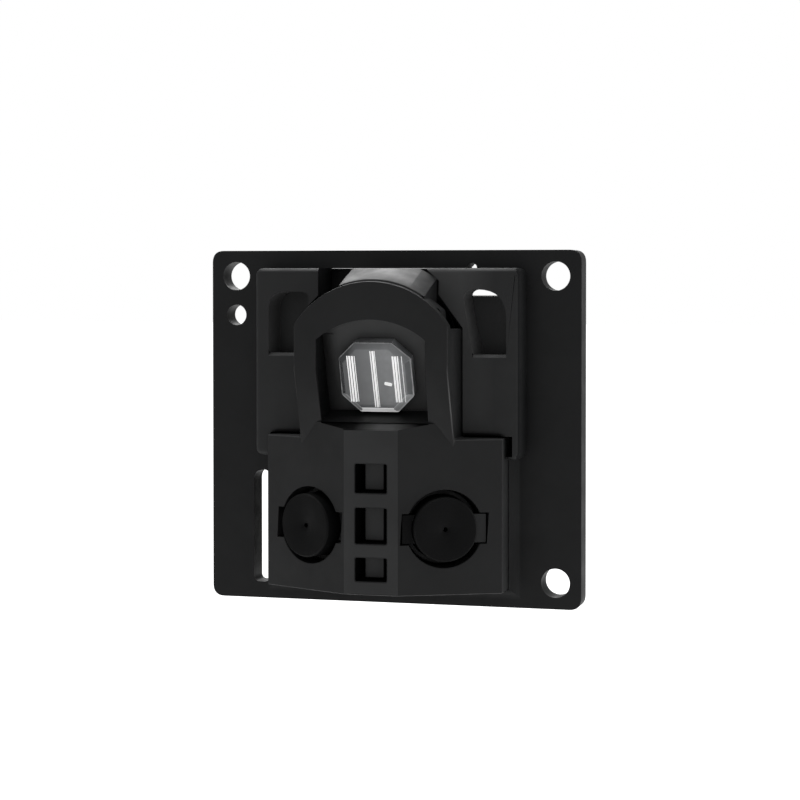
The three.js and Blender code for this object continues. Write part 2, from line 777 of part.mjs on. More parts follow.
function socketContact(index) {
  const { bottom, top, pitch, contacts } = CABLE_SOCKET;
  const x = (index - (contacts - 1) / 2) * pitch;
  const y = BOARD_BACK + 1.5;
  return blockBetween([x - 0.18, y - 0.18, bottom + 0.9], [x + 0.18, y + 0.18, top - 0.92]);
}

// A small pan-head screw with a cross recess: head at the rear, shank pointing to the front.
function smallScrew(headFront, length) {
  const { shank, head, headHeight } = SMALL_SCREW;
  const back = headFront + headHeight;
  const body = solid(
    turned([
      [0, headFront - length],
      [shank * 0.5, headFront - length],
      [shank, headFront - length + 0.5],
      [shank, headFront],
      [head, headFront],
      [head, back - 0.3],
      [head - 0.3, back],
      [0, back],
    ], 24),
  );
  const slot = (width, height) =>
    solid(blockBetween([-width / 2, back - 0.35, -height / 2], [width / 2, back + 1, height / 2]));
  return geometryOf(cut(body, slot(1.3, 0.3), slot(0.3, 1.3)));
}

// ---------------------------------------------------------------- assembly

const root = new THREE.Group();

function add(parent, name, geometry, material) {
  const mesh = new THREE.Mesh(geometry, material());
  mesh.name = name;
  parent.add(mesh);
  return mesh;
}

function groupIn(frame) {
  const group = new THREE.Group();
  group.applyMatrix4(frame);
  root.add(group);
  return group;
}

add(root, "front_plate", geometryOf(frontPlate()), blackPlastic);
add(root, "optical_block", geometryOf(opticalBlock()), blackPlastic);

const laser = groupIn(laserFrame);
add(laser, "line_lens", lineLens(), clearPlastic);
add(laser, "laser_sleeve", laserSleeve(), brass);
add(laser, "collimator_barrel", collimatorBarrel(), brass);
add(laser, "collimator_lens", collimatorLens(), lensGlass);
add(laser, "laser_diode", laserDiode(), gold);
pinPlaces.forEach((place, index) => add(laser, `laser_lead_${index + 1}`, laserPin(place), gold));
add(laser, "laser_board", laserBoard(), boardGreen);
add(root, "laser_ribbon", laserRibbon(), flexAmber);
add(root, "laser_ribbon_socket", ribbonSocket(laserSocketPlace), socketPlastic);

for (const [word, side] of Object.entries(sides)) {
  const camera = groupIn(cameraFrame(side));
  add(camera, `camera_barrel_${word}`, cameraBarrel(), barrelPlastic);
  add(camera, `camera_lens_${word}`, cameraLens(), lensGlass);
  add(camera, `camera_retainer_${word}`, cameraRetainer(), barrelPlastic);
  add(camera, `camera_holder_${word}`, cameraHolder(side), blackPlastic);
  add(camera, `camera_filter_${word}`, cameraFilter(), filterGlass);
  add(camera, `camera_sensor_${word}`, cameraSensor(), chipPlastic);
  add(camera, `camera_board_${word}`, cameraBoard(side), boardGreen);
  add(root, `camera_ribbon_${word}`, cameraRibbon(side), flexAmber);
  add(root, `camera_ribbon_socket_${word}`, ribbonSocket(cameraSocketPlace(side)), socketPlastic);
}

add(root, "main_board", mainBoard(), boardGreen);
add(root, "processor", onBoard(0, -1.2, 7, 7, 0.9), chipPlastic);
add(root, "flash_memory", onBoard(-6.6, -3.6, 4, 5, 0.8), chipPlastic);
add(root, "crystal", onBoard(6.2, -3.4, 2.5, 3.2, 0.7), steel);
add(root, "voltage_regulator", onBoard(6.4, 2.2, 3, 3, 1), chipPlastic);
add(root, "laser_driver", onBoard(1.2, 7.2, 3, 3, 0.9), chipPlastic);
add(root, "inductor", onBoard(-6.5, 2.6, 4, 4, 1.9), ferrite);
add(root, "input_capacitor", onBoard(-6.5, -8.8, 3.5, 2.8, 1.8), tantalum);
add(root, "output_capacitor", onBoard(6.7, -8.8, 3.5, 2.8, 1.8), tantalum);
add(root, "cable_socket", cableSocket(), socketPlastic);
for (let index = 0; index < CABLE_SOCKET.contacts; index++) {
  add(root, `cable_contact_${index + 1}`, socketContact(index), gold);
}
BOARD_SCREWS.forEach(([x, z], index) => {
  const screw = add(root, `board_screw_${index + 1}`, smallScrew(BOARD_BACK, 4), steel);
  screw.position.set(x, 0, z);
});
PLATE_SCREWS.forEach(([x, z], index) => {
  const screw = add(root, `plate_screw_${index + 1}`, smallScrew(FRAME.wall, 3.3), steel);
  screw.position.set(x, 0, z);
});

export default root;
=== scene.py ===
"""Looks of a solid-state lidar scanner module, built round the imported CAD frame.

Lengths in the tables are millimetres in the CAD frame: +X right, -Y out of the front, +Z up.
"""

import json
import math

import bmesh
import bpy
from mathutils import Matrix, Vector


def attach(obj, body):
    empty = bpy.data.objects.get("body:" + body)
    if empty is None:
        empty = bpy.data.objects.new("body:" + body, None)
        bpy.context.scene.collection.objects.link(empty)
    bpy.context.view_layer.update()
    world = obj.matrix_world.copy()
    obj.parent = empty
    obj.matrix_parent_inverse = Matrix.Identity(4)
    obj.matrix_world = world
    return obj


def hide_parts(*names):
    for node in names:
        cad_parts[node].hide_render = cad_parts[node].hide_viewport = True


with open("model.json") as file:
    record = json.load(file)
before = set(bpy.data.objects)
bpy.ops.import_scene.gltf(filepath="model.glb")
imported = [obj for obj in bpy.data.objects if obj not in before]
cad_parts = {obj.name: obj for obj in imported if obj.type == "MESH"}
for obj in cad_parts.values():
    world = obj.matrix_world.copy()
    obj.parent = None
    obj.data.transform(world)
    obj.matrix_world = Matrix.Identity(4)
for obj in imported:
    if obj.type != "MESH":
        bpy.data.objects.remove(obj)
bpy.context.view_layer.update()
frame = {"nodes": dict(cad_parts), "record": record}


def rotation(degrees, axis):
    """A turn about one axis, as a matrix."""
    return Matrix.Rotation(math.radians(degrees), 4, axis)

MM = 0.001

# ---------------------------------------------------------------- sizes shared with the CAD

PLATE_HALF_X = 16
PLATE_HALF_Z = 14.75
PLATE_FRONT = -2
DECK_FRONT = -4.2
DECK_HALF = 11.4
DECK_BOTTOM = -0.46
DECK_TOP = 13.26
BLOCK_HALF = 10.05
BLOCK_BOTTOM = -13.15
BLOCK_TOP = -0.6
NECK_TOP = 0.7
COVE = 0.9
MIDDLE_HALF = 2.27
EDGE_PROUD = 2.9
CAMERA_TURN = math.radians(25)
CAMERA_ALONG = 4.77
CAMERA_Z = -7.8
TOWER_LEAN = math.radians(20)
TOWER_HALF = 6.45
TOWER_PROUD = 6.77
TOWER_ARC = 4.53
TOWER_RADIUS = 7.64
TOWER_SHELL = 0.95
TOWER_WALL_TOP = 8.3
HOOD_LEFT = -2.75
HOOD_RIGHT = 4.4
HOOD_TOP = 13.21
LASER_PROUD = 6.39
LASER_Z = 3.87
RECESS_DEPTH = 2.5
SEAM = 0.06
RUNNING = 0.05
BARREL_RADIUS = 2.6
FRAME_BACK = 5
FRAME_WALL = 1
BOARD_BACK = 5.85
BOARD_SCREWS = [(-8.7, -11.4), (8.7, -11.4), (-8.7, 9), (8.7, 9)]
PLATE_SCREWS = [(-8.2, 2.6), (8.2, 2.6)]
SIDES = {"left": -1, "right": 1}
LENS_RIDGES = [
    (-1.9, 2, ((-0.26, 0.05), (-0.06, 0.085), (0.17, 0.085), (0.36, 0.04))),
    (0, 2.45, ((-0.16, 0.05), (0.04, 0.09), (0.2, 0.035))),
    (1.9, 2, ((-0.22, 0.08), (0.0, 0.09), (0.2, 0.05), (0.52, 0.03))),
]


def proud(distance):
    """The y of a surface that stands this far in front of the plate."""
    return PLATE_FRONT - distance


LASER_PLACE = Matrix.Translation((0, proud(LASER_PROUD), LASER_Z))
LASER_FRAME = LASER_PLACE @ Matrix.Rotation(TOWER_LEAN, 4, "X")


def camera_frame(side):
    x = side * (BLOCK_HALF - CAMERA_ALONG * math.cos(CAMERA_TURN))
    y = proud(EDGE_PROUD + CAMERA_ALONG * math.sin(CAMERA_TURN))
    return Matrix.Translation((x, y, CAMERA_Z)) @ Matrix.Rotation(side * CAMERA_TURN, 4, "Z")


# ---------------------------------------------------------------- outlines, as (x, z) points


def arc(x, z, radius, start, end, steps):
    """Points along an arc, angles in degrees."""
    angles = [math.radians(start + (end - start) * i / steps) for i in range(steps + 1)]
    return [(x + radius * math.cos(a), z + radius * math.sin(a)) for a in angles]


def circle(x, z, radius, steps=64):
    return arc(x, z, radius, 0, 360, steps)[:-1]


def rounded(corners, steps=8):
    """A polygon with its (x, z, radius) corners rounded, listed anticlockwise."""
    points = []
    for index, (x, z, radius) in enumerate(corners):
        here = Vector((x, z))
        if not radius:
            points.append((x, z))
            continue
        before = Vector(corners[index - 1][:2])
        after = Vector(corners[(index + 1) % len(corners)][:2])
        start = here + (before - here).normalized() * radius
        end = here + (after - here).normalized() * radius
        for step in range(steps + 1):
            t = step / steps
            point = start * (1 - t) ** 2 + here * 2 * t * (1 - t) + end * t**2
            points.append((point.x, point.y))
    return points


def rectangle(x0, z0, x1, z1, radius=0):
    return rounded([(x0, z0, radius), (x1, z0, radius), (x1, z1, radius), (x0, z1, radius)])


def mirrored(corners):
    return [(-x, z, radius) for x, z, radius in reversed(corners)]


def arch(half, bottom, centre, radius, steps=40):
    shoulder = math.degrees(math.asin(half / radius))
    feet = [(-half, bottom), (half, bottom)]
    return feet + arc(0, centre, radius, 90 - shoulder, 90 + shoulder, steps)


def octagon(flats, chamfer):
    half = flats / 2
    short = half - chamfer
    return [
        (-short, -half),
        (short, -half),
        (half, -short),
        (half, short),
        (short, half),
        (-short, half),
        (-half, short),
        (-half, -short),
    ]


# ---------------------------------------------------------------- solids


def make(name, bm, place=None):
    """A linked object in metres from a mesh in millimetres, moved into a frame first."""
    if place is not None:
        bm.transform(place)
    bmesh.ops.recalc_face_normals(bm, faces=bm.faces)
    bm.transform(Matrix.Scale(MM, 4))
    mesh = bpy.data.meshes.new(name)
    bm.to_mesh(mesh)
    bm.free()
    piece = bpy.data.objects.new(name, mesh)
    bpy.context.scene.collection.objects.link(piece)
    return piece


def prism(outline, front, back, place=None, name="tool"):
    """An outline in X and Z, solid from y = front to y = back."""
    bm = bmesh.new()
    near = [bm.verts.new((x, front, z)) for x, z in outline]
    far = [bm.verts.new((x, back, z)) for x, z in outline]
    bm.faces.new(near)
    bm.faces.new(far[::-1])
    for i in range(len(outline)):
        j = (i + 1) % len(outline)
        bm.faces.new((near[i], near[j], far[j], far[i]))
    return make(name, bm, place)


def loft(rings, place=None, name="tool"):
    """A solid through (outline, y) rings with equal numbers of points."""
    bm = bmesh.new()
    loops = [[bm.verts.new((x, y, z)) for x, z in outline] for outline, y in rings]
    bm.faces.new(loops[0])
    bm.faces.new(loops[-1][::-1])
    for near, far in zip(loops, loops[1:]):
        for i in range(len(near)):
            j = (i + 1) % len(near)
            bm.faces.new((near[i], near[j], far[j], far[i]))
    return make(name, bm, place)


def column(outline, bottom, top, place=None, name="tool"):
    """An outline in X and Y, solid from z = bottom to z = top."""
    swap = Matrix(((1, 0, 0, 0), (0, 0, 1, 0), (0, 1, 0, 0), (0, 0, 0, 1)))
    return prism(outline, bottom, top, swap if place is None else place @ swap, name)


def beam(outline, left, right, place=None, name="tool"):
    """An outline in Y and Z, solid from x = left to x = right."""
    swap = Matrix(((0, 1, 0, 0), (1, 0, 0, 0), (0, 0, 1, 0), (0, 0, 0, 1)))
    return prism(outline, left, right, swap if place is None else place @ swap, name)


def box(low, high, place=None, name="tool"):
    outline = [(low[0], low[2]), (high[0], low[2]), (high[0], high[2]), (low[0], high[2])]
    return prism(outline, low[1], high[1], place, name)


def rod(radius, front, back, place=None, steps=64, name="tool"):
    return prism(circle(0, 0, radius, steps), front, back, place, name)


def turned(points, place=None, steps=96, name="tool"):
    """A closed (radius, y) profile turned about the Y axis. Points with no radius sit on it."""
    bm = bmesh.new()
    rings = []
    for radius, y in points:
        if radius == 0:
            rings.append([bm.verts.new((0, y, 0))] * steps)
            continue
        rings.append([bm.verts.new((x, y, z)) for x, z in circle(0, 0, radius, steps)])
    closed = points[0][0] != 0
    count = len(rings) if closed else len(rings) - 1
    for k in range(count):
        here, there = rings[k], rings[(k + 1) % len(rings)]
        for i in range(steps):
            j = (i + 1) % steps
            corners = list(dict.fromkeys((here[i], here[j], there[j], there[i])))
            if len(corners) > 2:
                bm.faces.new(corners)
    return make(name, bm, place)


def settle(piece):
    """Makes a piece's modifiers part of its mesh."""
    graph = bpy.context.evaluated_depsgraph_get()
    mesh = bpy.data.meshes.new_from_object(piece.evaluated_get(graph))
    piece.modifiers.clear()
    old = piece.data
    piece.data = mesh
    mesh.name = piece.name
    bpy.data.meshes.remove(old)
    return piece


def combine(piece, operation, tools):
    for tool in tools:
        modifier = piece.modifiers.new("combine", "BOOLEAN")
        modifier.operation = operation
        modifier.solver = "EXACT"
        modifier.object = tool
    graph = bpy.context.evaluated_depsgraph_get()
    if not piece.evaluated_get(graph).data.vertices:
        for modifier in piece.modifiers:
            modifier.solver = "MANIFOLD"
    settle(piece)
    for tool in tools:
        mesh = tool.data
        bpy.data.objects.remove(tool)
        bpy.data.meshes.remove(mesh)
    return piece


def join(piece, *tools):
    return combine(piece, "UNION", tools)


def cut(piece, *tools):
    return combine(piece, "DIFFERENCE", tools)


def keep(piece, *tools):
    return combine(piece, "INTERSECT", tools)


def has_room(edge, width):
    """Whether the edges that cross an edge's ends are long enough for it to be rounded."""
    for corner in edge.verts:
        along = (edge.other_vert(corner).co - corner.co).normalized()
        for other in corner.link_edges:
            reach = other.other_vert(corner).co - corner.co
            if abs(reach.normalized().dot(along)) < 0.87 and reach.length < 2.5 * width * MM:
                return False
    return True


def soften(piece, width, segments=2, angle=32, spare=None, clamp=False):
    """Rounds a piece's sharp edges by a width in millimetres, except where spare says so."""
    mesh = piece.data
    weights = mesh.attributes.new("bevel_weight_edge", "FLOAT", "EDGE")
    bm = bmesh.new()
    bm.from_mesh(mesh)
    bm.edges.ensure_lookup_table()
    for edge in bm.edges:
        sharp = edge.is_manifold and edge.calc_face_angle() > math.radians(angle)
        middle = (edge.verts[0].co + edge.verts[1].co) / (2 * MM)
        if sharp and has_room(edge, width) and not (spare and spare(middle)):
            weights.data[edge.index].value = 1.0
    bm.free()
    modifier = piece.modifiers.new("soften", "BEVEL")
    modifier.width = width * MM
    modifier.segments = segments
    modifier.limit_method = "WEIGHT"
    modifier.use_clamp_overlap = clamp
    modifier.miter_outer = "MITER_ARC"
    return settle(piece)


def paint(piece, material, chosen):
    """Gives a second material to the faces that chosen(centre, normal) picks, in millimetres."""
    piece.data.materials.append(material)
    index = len(piece.data.materials) - 1
    for face in piece.data.polygons:
        if chosen(face.center / MM, face.normal):
            face.material_index = index


def smooth(piece, angle=30):
    """Smooth shading up to sharp edges, with large flat faces kept flat."""
    piece.data.shade_smooth()
    piece.data.set_sharp_from_angle(angle=math.radians(angle))
    modifier = piece.modifiers.new("normals", "WEIGHTED_NORMAL")
    modifier.keep_sharp = True
    return settle(piece)


def tidy_mesh(piece):
    bm = bmesh.new()
    bm.from_mesh(piece.data)
    bmesh.ops.remove_doubles(bm, verts=bm.verts, dist=0.002 * MM)
    bmesh.ops.dissolve_limit(bm, angle_limit=math.radians(0.5), verts=bm.verts, edges=bm.edges)
    bm.to_mesh(piece.data)
    bm.free()
    return piece


# ---------------------------------------------------------------- materials


class Nodes:
    """Short names for building one material's nodes."""

    def __init__(self, name):
        self.material = bpy.data.materials.new(name)
        self.material.use_nodes = True
        self.tree = self.material.node_tree
        self.shader = self.tree.nodes["Principled BSDF"]
        self.place = self.add("ShaderNodeTexCoord").outputs["Object"]

    def add(self, kind, **values):
        node = self.tree.nodes.new(kind)
        for key, value in values.items():
            setattr(node, key, value)
        return node

    def link(self, source, target):
        self.tree.links.new(source, target)

    def noise(self, size, detail=3, rough=0.5):
        """Noise whose grains are about this many millimetres across."""
        node = self.add("ShaderNodeTexNoise")
        node.inputs["Scale"].default_value = 1 / (size * MM)
        node.inputs["Detail"].default_value = detail
        node.inputs["Roughness"].default_value = rough
        self.link(self.place, node.inputs["Vector"])
        return node.outputs["Fac"]

    def spread(self, value, low, high, start=0.35, end=0.65):
        """A value carried from start..end to low..high."""
        node = self.add("ShaderNodeMapRange")
        node.inputs["From Min"].default_value = start
        node.inputs["From Max"].default_value = end
        node.inputs["To Min"].default_value = low
        node.inputs["To Max"].default_value = high
        self.link(value, node.inputs["Value"])
        return node.outputs["Result"]

    def edges(self, width):
        """1 along rounded edges of this width in millimetres, 0 elsewhere."""
        bevel = self.add("ShaderNodeBevel", samples=4)
        bevel.inputs["Radius"].default_value = width * MM
        geometry = self.add("ShaderNodeNewGeometry")
        dot = self.add("ShaderNodeVectorMath", operation="DOT_PRODUCT")
        self.link(bevel.outputs["Normal"], dot.inputs[0])
        self.link(geometry.outputs["Normal"], dot.inputs[1])
        return self.spread(dot.outputs["Value"], 1, 0, 0.8, 0.98)

    def mix(self, amount, first, second):
        node = self.add("ShaderNodeMix", data_type="RGBA")
        for value, socket in ((first, node.inputs[6]), (second, node.inputs[7])):
            if isinstance(value, tuple):
                socket.default_value = (*value, 1)
            else:
                self.link(value, socket)
        self.link(amount, node.inputs[0])
        return node.outputs[2]

    def ramp(self, axis, start, end, middle=None):
        """0 to 1 between two places in millimetres along an axis, or either side of a middle."""
        split = self.add("ShaderNodeSeparateXYZ")
        self.link(self.place, split.inputs[0])
        value = split.outputs[axis]
        if middle is not None:
            aside = self.add("ShaderNodeMath", operation="SUBTRACT")
            self.link(value, aside.inputs[0])
            aside.inputs[1].default_value = middle * MM
            size = self.add("ShaderNodeMath", operation="ABSOLUTE")
            self.link(aside.outputs[0], size.inputs[0])
            value = size.outputs[0]
        return self.spread(value, 0, 1, start * MM, end * MM)

    def bump(self, height, depth, strength=1.0, normal=None):
        """Bumps this many millimetres high."""
        node = self.add("ShaderNodeBump")
        node.inputs["Strength"].default_value = strength
        node.inputs["Distance"].default_value = depth * MM
        self.link(height, node.inputs["Height"])
        if normal is not None:
            self.link(normal, node.inputs["Normal"])
        self.link(node.outputs["Normal"], self.shader.inputs["Normal"])
        return node.outputs["Normal"]

    def set(self, **values):
        for key, value in values.items():
            socket = self.shader.inputs[key.replace("_", " ")]
            if isinstance(value, bpy.types.NodeSocket):
                self.link(value, socket)
            elif isinstance(value, tuple):
                socket.default_value = (*value, 1)
            else:
                socket.default_value = value
        return self.material


def moulded(
    name, color, roughness=0.5, gloss=0.3, grain=0.12, depth=0.004, wear=0.5, near=None, ramp=None
):
    """Moulded plastic: fine grain, faint flow marks and slightly polished edges.

    With a ramp it runs from a second color, near, to its own color along an axis, as painted light and
    shade by place."""
    n = Nodes(name)
    worn = tuple(min(1, c * 1.8 + 0.004) for c in color)
    cloudy = tuple(c * 0.8 for c in color)
    flow = n.spread(n.noise(4), 0, 1)
    base = n.mix(flow, color, cloudy)
    if ramp:
        base = n.mix(n.ramp(*ramp), near, base)
    edge = n.add("ShaderNodeMath", operation="MULTIPLY")
    n.link(n.edges(0.08), edge.inputs[0])
    n.link(n.spread(n.noise(0.8), 0, wear), edge.inputs[1])
    tint = n.mix(edge.outputs[0], base, worn)
    rough = n.spread(n.noise(1.5, detail=5), roughness - 0.05, roughness + 0.07)
    n.bump(n.noise(grain, detail=2), depth)
    return n.set(Base_Color=tint, Roughness=rough, Specular_IOR_Level=gloss)


def shaded(name, dark, light, side, foot):
    """Matt plastic with painted shade: dark to light between two x and two z places, in millimetres."""
    n = Nodes(name)
    both = n.add("ShaderNodeMath", operation="MULTIPLY")
    n.link(n.ramp("X", *side), both.inputs[0])
    n.link(n.ramp("Z", *foot), both.inputs[1])
    tint = n.mix(both.outputs[0], dark, light)
    n.bump(n.noise(0.12, detail=2), 0.004)
    rough = n.spread(n.noise(1.5, detail=5), 0.45, 0.6)
    return n.set(Base_Color=tint, Roughness=rough, Specular_IOR_Level=0.15)


def clear(name, tint, ior=1.49, roughness=0.01):
    """Clear moulded plastic or glass with faint swirl."""
    n = Nodes(name)
    n.bump(n.noise(1.2, detail=2), 0.004)
    rough = n.spread(n.noise(0.6), roughness, roughness + 0.03)
    return n.set(Base_Color=tint, Roughness=rough, IOR=ior, Transmission_Weight=1.0)


def painted_light_acrylic(name, dark, light, through, edge=0.0, painted_glow=0.0):
    """Clear moulded plastic with painted light: brighter to the right, painted highlights at its edges
    and an optional painted glow.
    """
    n = Nodes(name)
    # painted light: lighter towards +x
    slope = n.ramp("X", -2.2, 1.2)
    cloud = n.mix(n.spread(n.noise(1.1, detail=4), 0, 0.5), light, tuple(c * 0.7 for c in light))
    tint = n.mix(slope, dark, cloud)
    # painted highlights along the edges
    if edge:
        rim = n.add("ShaderNodeMath", operation="MULTIPLY")
        n.link(n.edges(0.12), rim.inputs[0])
        n.link(n.spread(n.noise(0.9), 0.2, edge), rim.inputs[1])
        tint = n.mix(rim.outputs[0], tint, (0.95, 0.96, 0.97))
    n.bump(n.noise(1.2, detail=2), 0.004)
    rough = n.spread(n.noise(0.6), 0.03, 0.09)
    # painted glow: emission in the plastic's own tint
    n.set(Emission_Color=tint, Emission_Strength=painted_glow)
    return n.set(Base_Color=tint, Roughness=rough, IOR=1.49, Transmission_Weight=through)


def metal(name, color, roughness, turning=0.03):
    """Metal with fine turning marks and a little tarnish."""
    n = Nodes(name)
    dull = tuple(c * 0.6 for c in color)
    tint = n.mix(n.spread(n.noise(0.7, detail=5), 0, 0.6), color, dull)
    rough = n.spread(n.noise(0.25), roughness - 0.08, roughness + 0.12)
    n.bump(n.noise(turning), 0.002)
    return n.set(Base_Color=tint, Roughness=rough, Metallic=1.0)


def circuit_board(name):
    """Green solder mask over the faint weave of the glass cloth, with copper fills showing through."""
    n = Nodes(name)
    weave = None
    for direction in ("X", "Z"):
        wave = n.add("ShaderNodeTexWave", bands_direction=direction)
        wave.inputs["Scale"].default_value = 900
        wave.inputs["Distortion"].default_value = 0.4
        n.link(n.place, wave.inputs["Vector"])
        if weave is None:
            weave = wave.outputs["Fac"]
            continue
        both = n.add("ShaderNodeMath", operation="ADD")
        n.link(weave, both.inputs[0])
        n.link(wave.outputs["Fac"], both.inputs[1])
        weave = both.outputs[0]
    fills = n.add("ShaderNodeTexVoronoi", distance="CHEBYCHEV")
    fills.inputs["Scale"].default_value = 170
    n.link(n.place, fills.inputs["Vector"])
    copper = n.spread(fills.outputs["Color"], 0, 1, 0.5, 0.52)
    mask = n.mix(n.spread(n.noise(3), 0, 1), (0.006, 0.06, 0.024), (0.005, 0.045, 0.02))
    tint = n.mix(copper, mask, (0.01, 0.085, 0.034))
    tint = n.mix(n.spread(weave, 0, 0.35, 0.6, 1.6), tint, (0.003, 0.03, 0.014))
    relief = n.bump(copper, 0.012, 0.5)
    n.bump(weave, 0.003, 0.5, relief)
    return n.set(Base_Color=tint, Roughness=n.spread(n.noise(0.5), 0.28, 0.42))


def film(name):
    """Amber flexible-circuit film over copper conductors."""
    n = Nodes(name)
    wave = n.add("ShaderNodeTexWave", bands_direction="X")
    wave.inputs["Scale"].default_value = 600
    n.link(n.place, wave.inputs["Vector"])
    tint = n.mix(wave.outputs["Fac"], (0.32, 0.11, 0.015), (0.5, 0.22, 0.04))
    n.bump(wave.outputs["Fac"], 0.02, 0.5)
    return n.set(Base_Color=tint, Roughness=n.spread(n.noise(0.5), 0.25, 0.4))


plate_black = moulded("plate_black", (0.0075, 0.0078, 0.0082), gloss=0.22)
block_black = moulded("block_black", (0.0105, 0.0108, 0.0112), gloss=0.25)
# painted light: the proud centre strip of the camera block given a lighter tone
strip_painted_light = moulded("strip_painted_light", (0.024, 0.0245, 0.025), roughness=0.45)
# painted shade: a darker, duller tone for the deck's right side, where it turns away from the light
deck_side_painted_shade = moulded("deck_side_painted_shade", (0.012, 0.0125, 0.013), roughness=0.75, gloss=0.08)
# painted light: the camera block's right side wall given a lighter tone
block_side_painted_light = moulded("block_side_painted_light", (0.022, 0.0225, 0.023), roughness=0.6)
# painted light: the cove beside the block's sides lightened
cove_painted_light = moulded("cove_painted_light", (0.024, 0.0245, 0.025), roughness=0.7, gloss=0.12)
# painted light: pocket walls and floors lifted above the deck's tone against the shade inside the pockets
pocket_painted_light = moulded("pocket_painted_light", (0.021, 0.0215, 0.022))
# painted light: a much lighter tone on the pocket walls that face +x
pocket_wall_painted_light = moulded("pocket_wall_painted_light", (0.085, 0.0855, 0.086), roughness=0.7)
# painted light: the deck is part of the plate's moulding, given a lighter tone than the plate because it
# stands proud
deck_painted_light = moulded("deck_painted_light", (0.0142, 0.0147, 0.0152))
# painted light: a pool of light on the right deck next to the tower, fading out by x 9.2
deck_lit = moulded(
    "deck_lit", (0.0152, 0.0157, 0.0162), near=(0.045, 0.0455, 0.046), ramp=("X", 6.4, 9.2)
)
# painted shade: the laser recess darker towards its left wall and its foot
recess_painted_shade = shaded(
    "recess_painted_shade", (0.008, 0.008, 0.0082), (0.058, 0.0585, 0.059), (-4.8, -3.2), (-0.6, 2.0)
)
# painted highlight on the lip's middle near x 1.1, with painted shade to either side
lip_painted_highlight = moulded(
    "lip_painted_highlight",
    (0.0015, 0.0015, 0.0016),
    gloss=0.1,
    near=(0.07, 0.0705, 0.071),
    ramp=("X", 0.6, 2.6, 1.1),
)
# painted highlight: the tower's front edge bevels brighter around z 2.4
tower_edge_painted_highlight = moulded(
    "tower_edge_painted_highlight", (0.0105, 0.0108, 0.0112), near=(0.075, 0.0755, 0.076), ramp=("Z", 0.6, 3.2, 2.4)
)
# painted light: the upward faces of the block's shoulders given a lighter tone
shoulder_painted_light = moulded("shoulder_painted_light", (0.034, 0.0345, 0.035))
# painted shade: near-black for the deep slots beside the window islands
slot_painted_shade = moulded("slot_painted_shade", (0.002, 0.002, 0.0022), roughness=0.8, gloss=0.05)
holder_black = moulded("holder_black", (0.0125, 0.013, 0.0135))
barrel_black = moulded(
    "barrel_black", (0.0026, 0.0027, 0.0029), roughness=0.6, gloss=0.11, grain=0.08
)
chip_black = moulded("chip_black", (0.014, 0.014, 0.015), roughness=0.55, grain=0.06)
ferrite_grey = moulded("ferrite_grey", (0.035, 0.035, 0.038), roughness=0.7, grain=0.15, depth=0.01)
socket_ivory = moulded("socket_ivory", (0.62, 0.57, 0.45), roughness=0.45, wear=0.1)
tantalum_ochre = moulded("tantalum_ochre", (0.48, 0.24, 0.04), roughness=0.5, wear=0.1)
clear_acrylic = clear("clear_acrylic", (0.96, 0.97, 0.98))
# painted light: the lens body runs dark to light across x, with painted edge highlights
lens_painted_light = painted_light_acrylic("lens_painted_light", (0.16, 0.165, 0.17), (0.42, 0.43, 0.44), 0.4, 0.9)
# painted highlight: a lighter tone for the lens's lower corner facets
facet_painted_highlight = painted_light_acrylic("facet_painted_highlight", (0.4, 0.405, 0.41), (0.6, 0.61, 0.62), 0.1, 0.5, 0.04)
# painted highlight: near-white with a painted glow, for the bright highlights on the lens's ribs and foot
rib_painted_highlight = painted_light_acrylic("rib_painted_highlight", (0.97, 0.97, 0.97), (0.98, 0.98, 0.98), 0.0, painted_glow=0.3)
optical_glass = clear("optical_glass", (0.85, 0.9, 0.95), ior=1.6)
filter_glass = clear("filter_glass", (0.6, 0.25, 0.35), ior=1.5)
turned_brass = metal("turned_brass", (0.62, 0.43, 0.17), 0.3)
plain_steel = metal("plain_steel", (0.5, 0.51, 0.53), 0.32)
gold_plate = metal("gold_plate", (0.8, 0.55, 0.2), 0.28)
tinned = metal("tinned", (0.62, 0.63, 0.65), 0.3)
board_green = circuit_board("board_green")
track_green = moulded("track_green", (0.02, 0.14, 0.055), roughness=0.35, gloss=0.5, wear=0.05)
board_edge = moulded("board_edge", (0.16, 0.15, 0.07), roughness=0.7, wear=0.1)
ceramic_tan = moulded("ceramic_tan", (0.3, 0.2, 0.12), roughness=0.5, wear=0.1)
flex_amber = film("flex_amber")

SLOT_MATERIALS = {
    "black_plastic": block_black,
    "barrel_plastic": barrel_black,
    "clear_lens": clear_acrylic,
    "lens_glass": optical_glass,
    "filter_glass": filter_glass,
    "brass": turned_brass,
    "steel": plain_steel,
    "gold": gold_plate,
    "board_green": board_green,
    "flex_amber": flex_amber,
    "chip_plastic": chip_black,
    "socket_plastic": socket_ivory,
    "ferrite": ferrite_grey,
    "tantalum": tantalum_ochre,
}


def dress_nodes():
    """Gives every carried-over CAD node its better material."""
    for entry in frame["record"]["subparts"]:
        node = frame["nodes"][entry["node"]]
        node.data.materials.clear()
        node.data.materials.append(SLOT_MATERIALS[entry["material_slot"]])


def show(piece, body, material, replaces=()):
    """Finishes a piece: its material, its body and the CAD nodes that it stands for."""
    if material is not None:
        piece.data.materials.clear()
        piece.data.materials.append(material)
    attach(piece, body)
    if replaces:
        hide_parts(*replaces)
    return piece


# ---------------------------------------------------------------- front plate


def pocket(top, corner, draft=0.0):
    """A pocket's outline; draft moves the wall at its left in and its other walls a little."""
    return [
        (7.35 + draft, 6.2, 0),
        (10.2 - draft / 2, 6.2, 0),
        (10.2 - draft / 2, top, corner),
        (6.55 + draft / 2, top, 0.9),
        (6.75 + draft / 2, 9.8, 0),
    ]


def left_pocket(draft=0.0):
    return mirrored([(x, z, corner) for x, z, corner in pocket(11.3, 1.5, draft)])


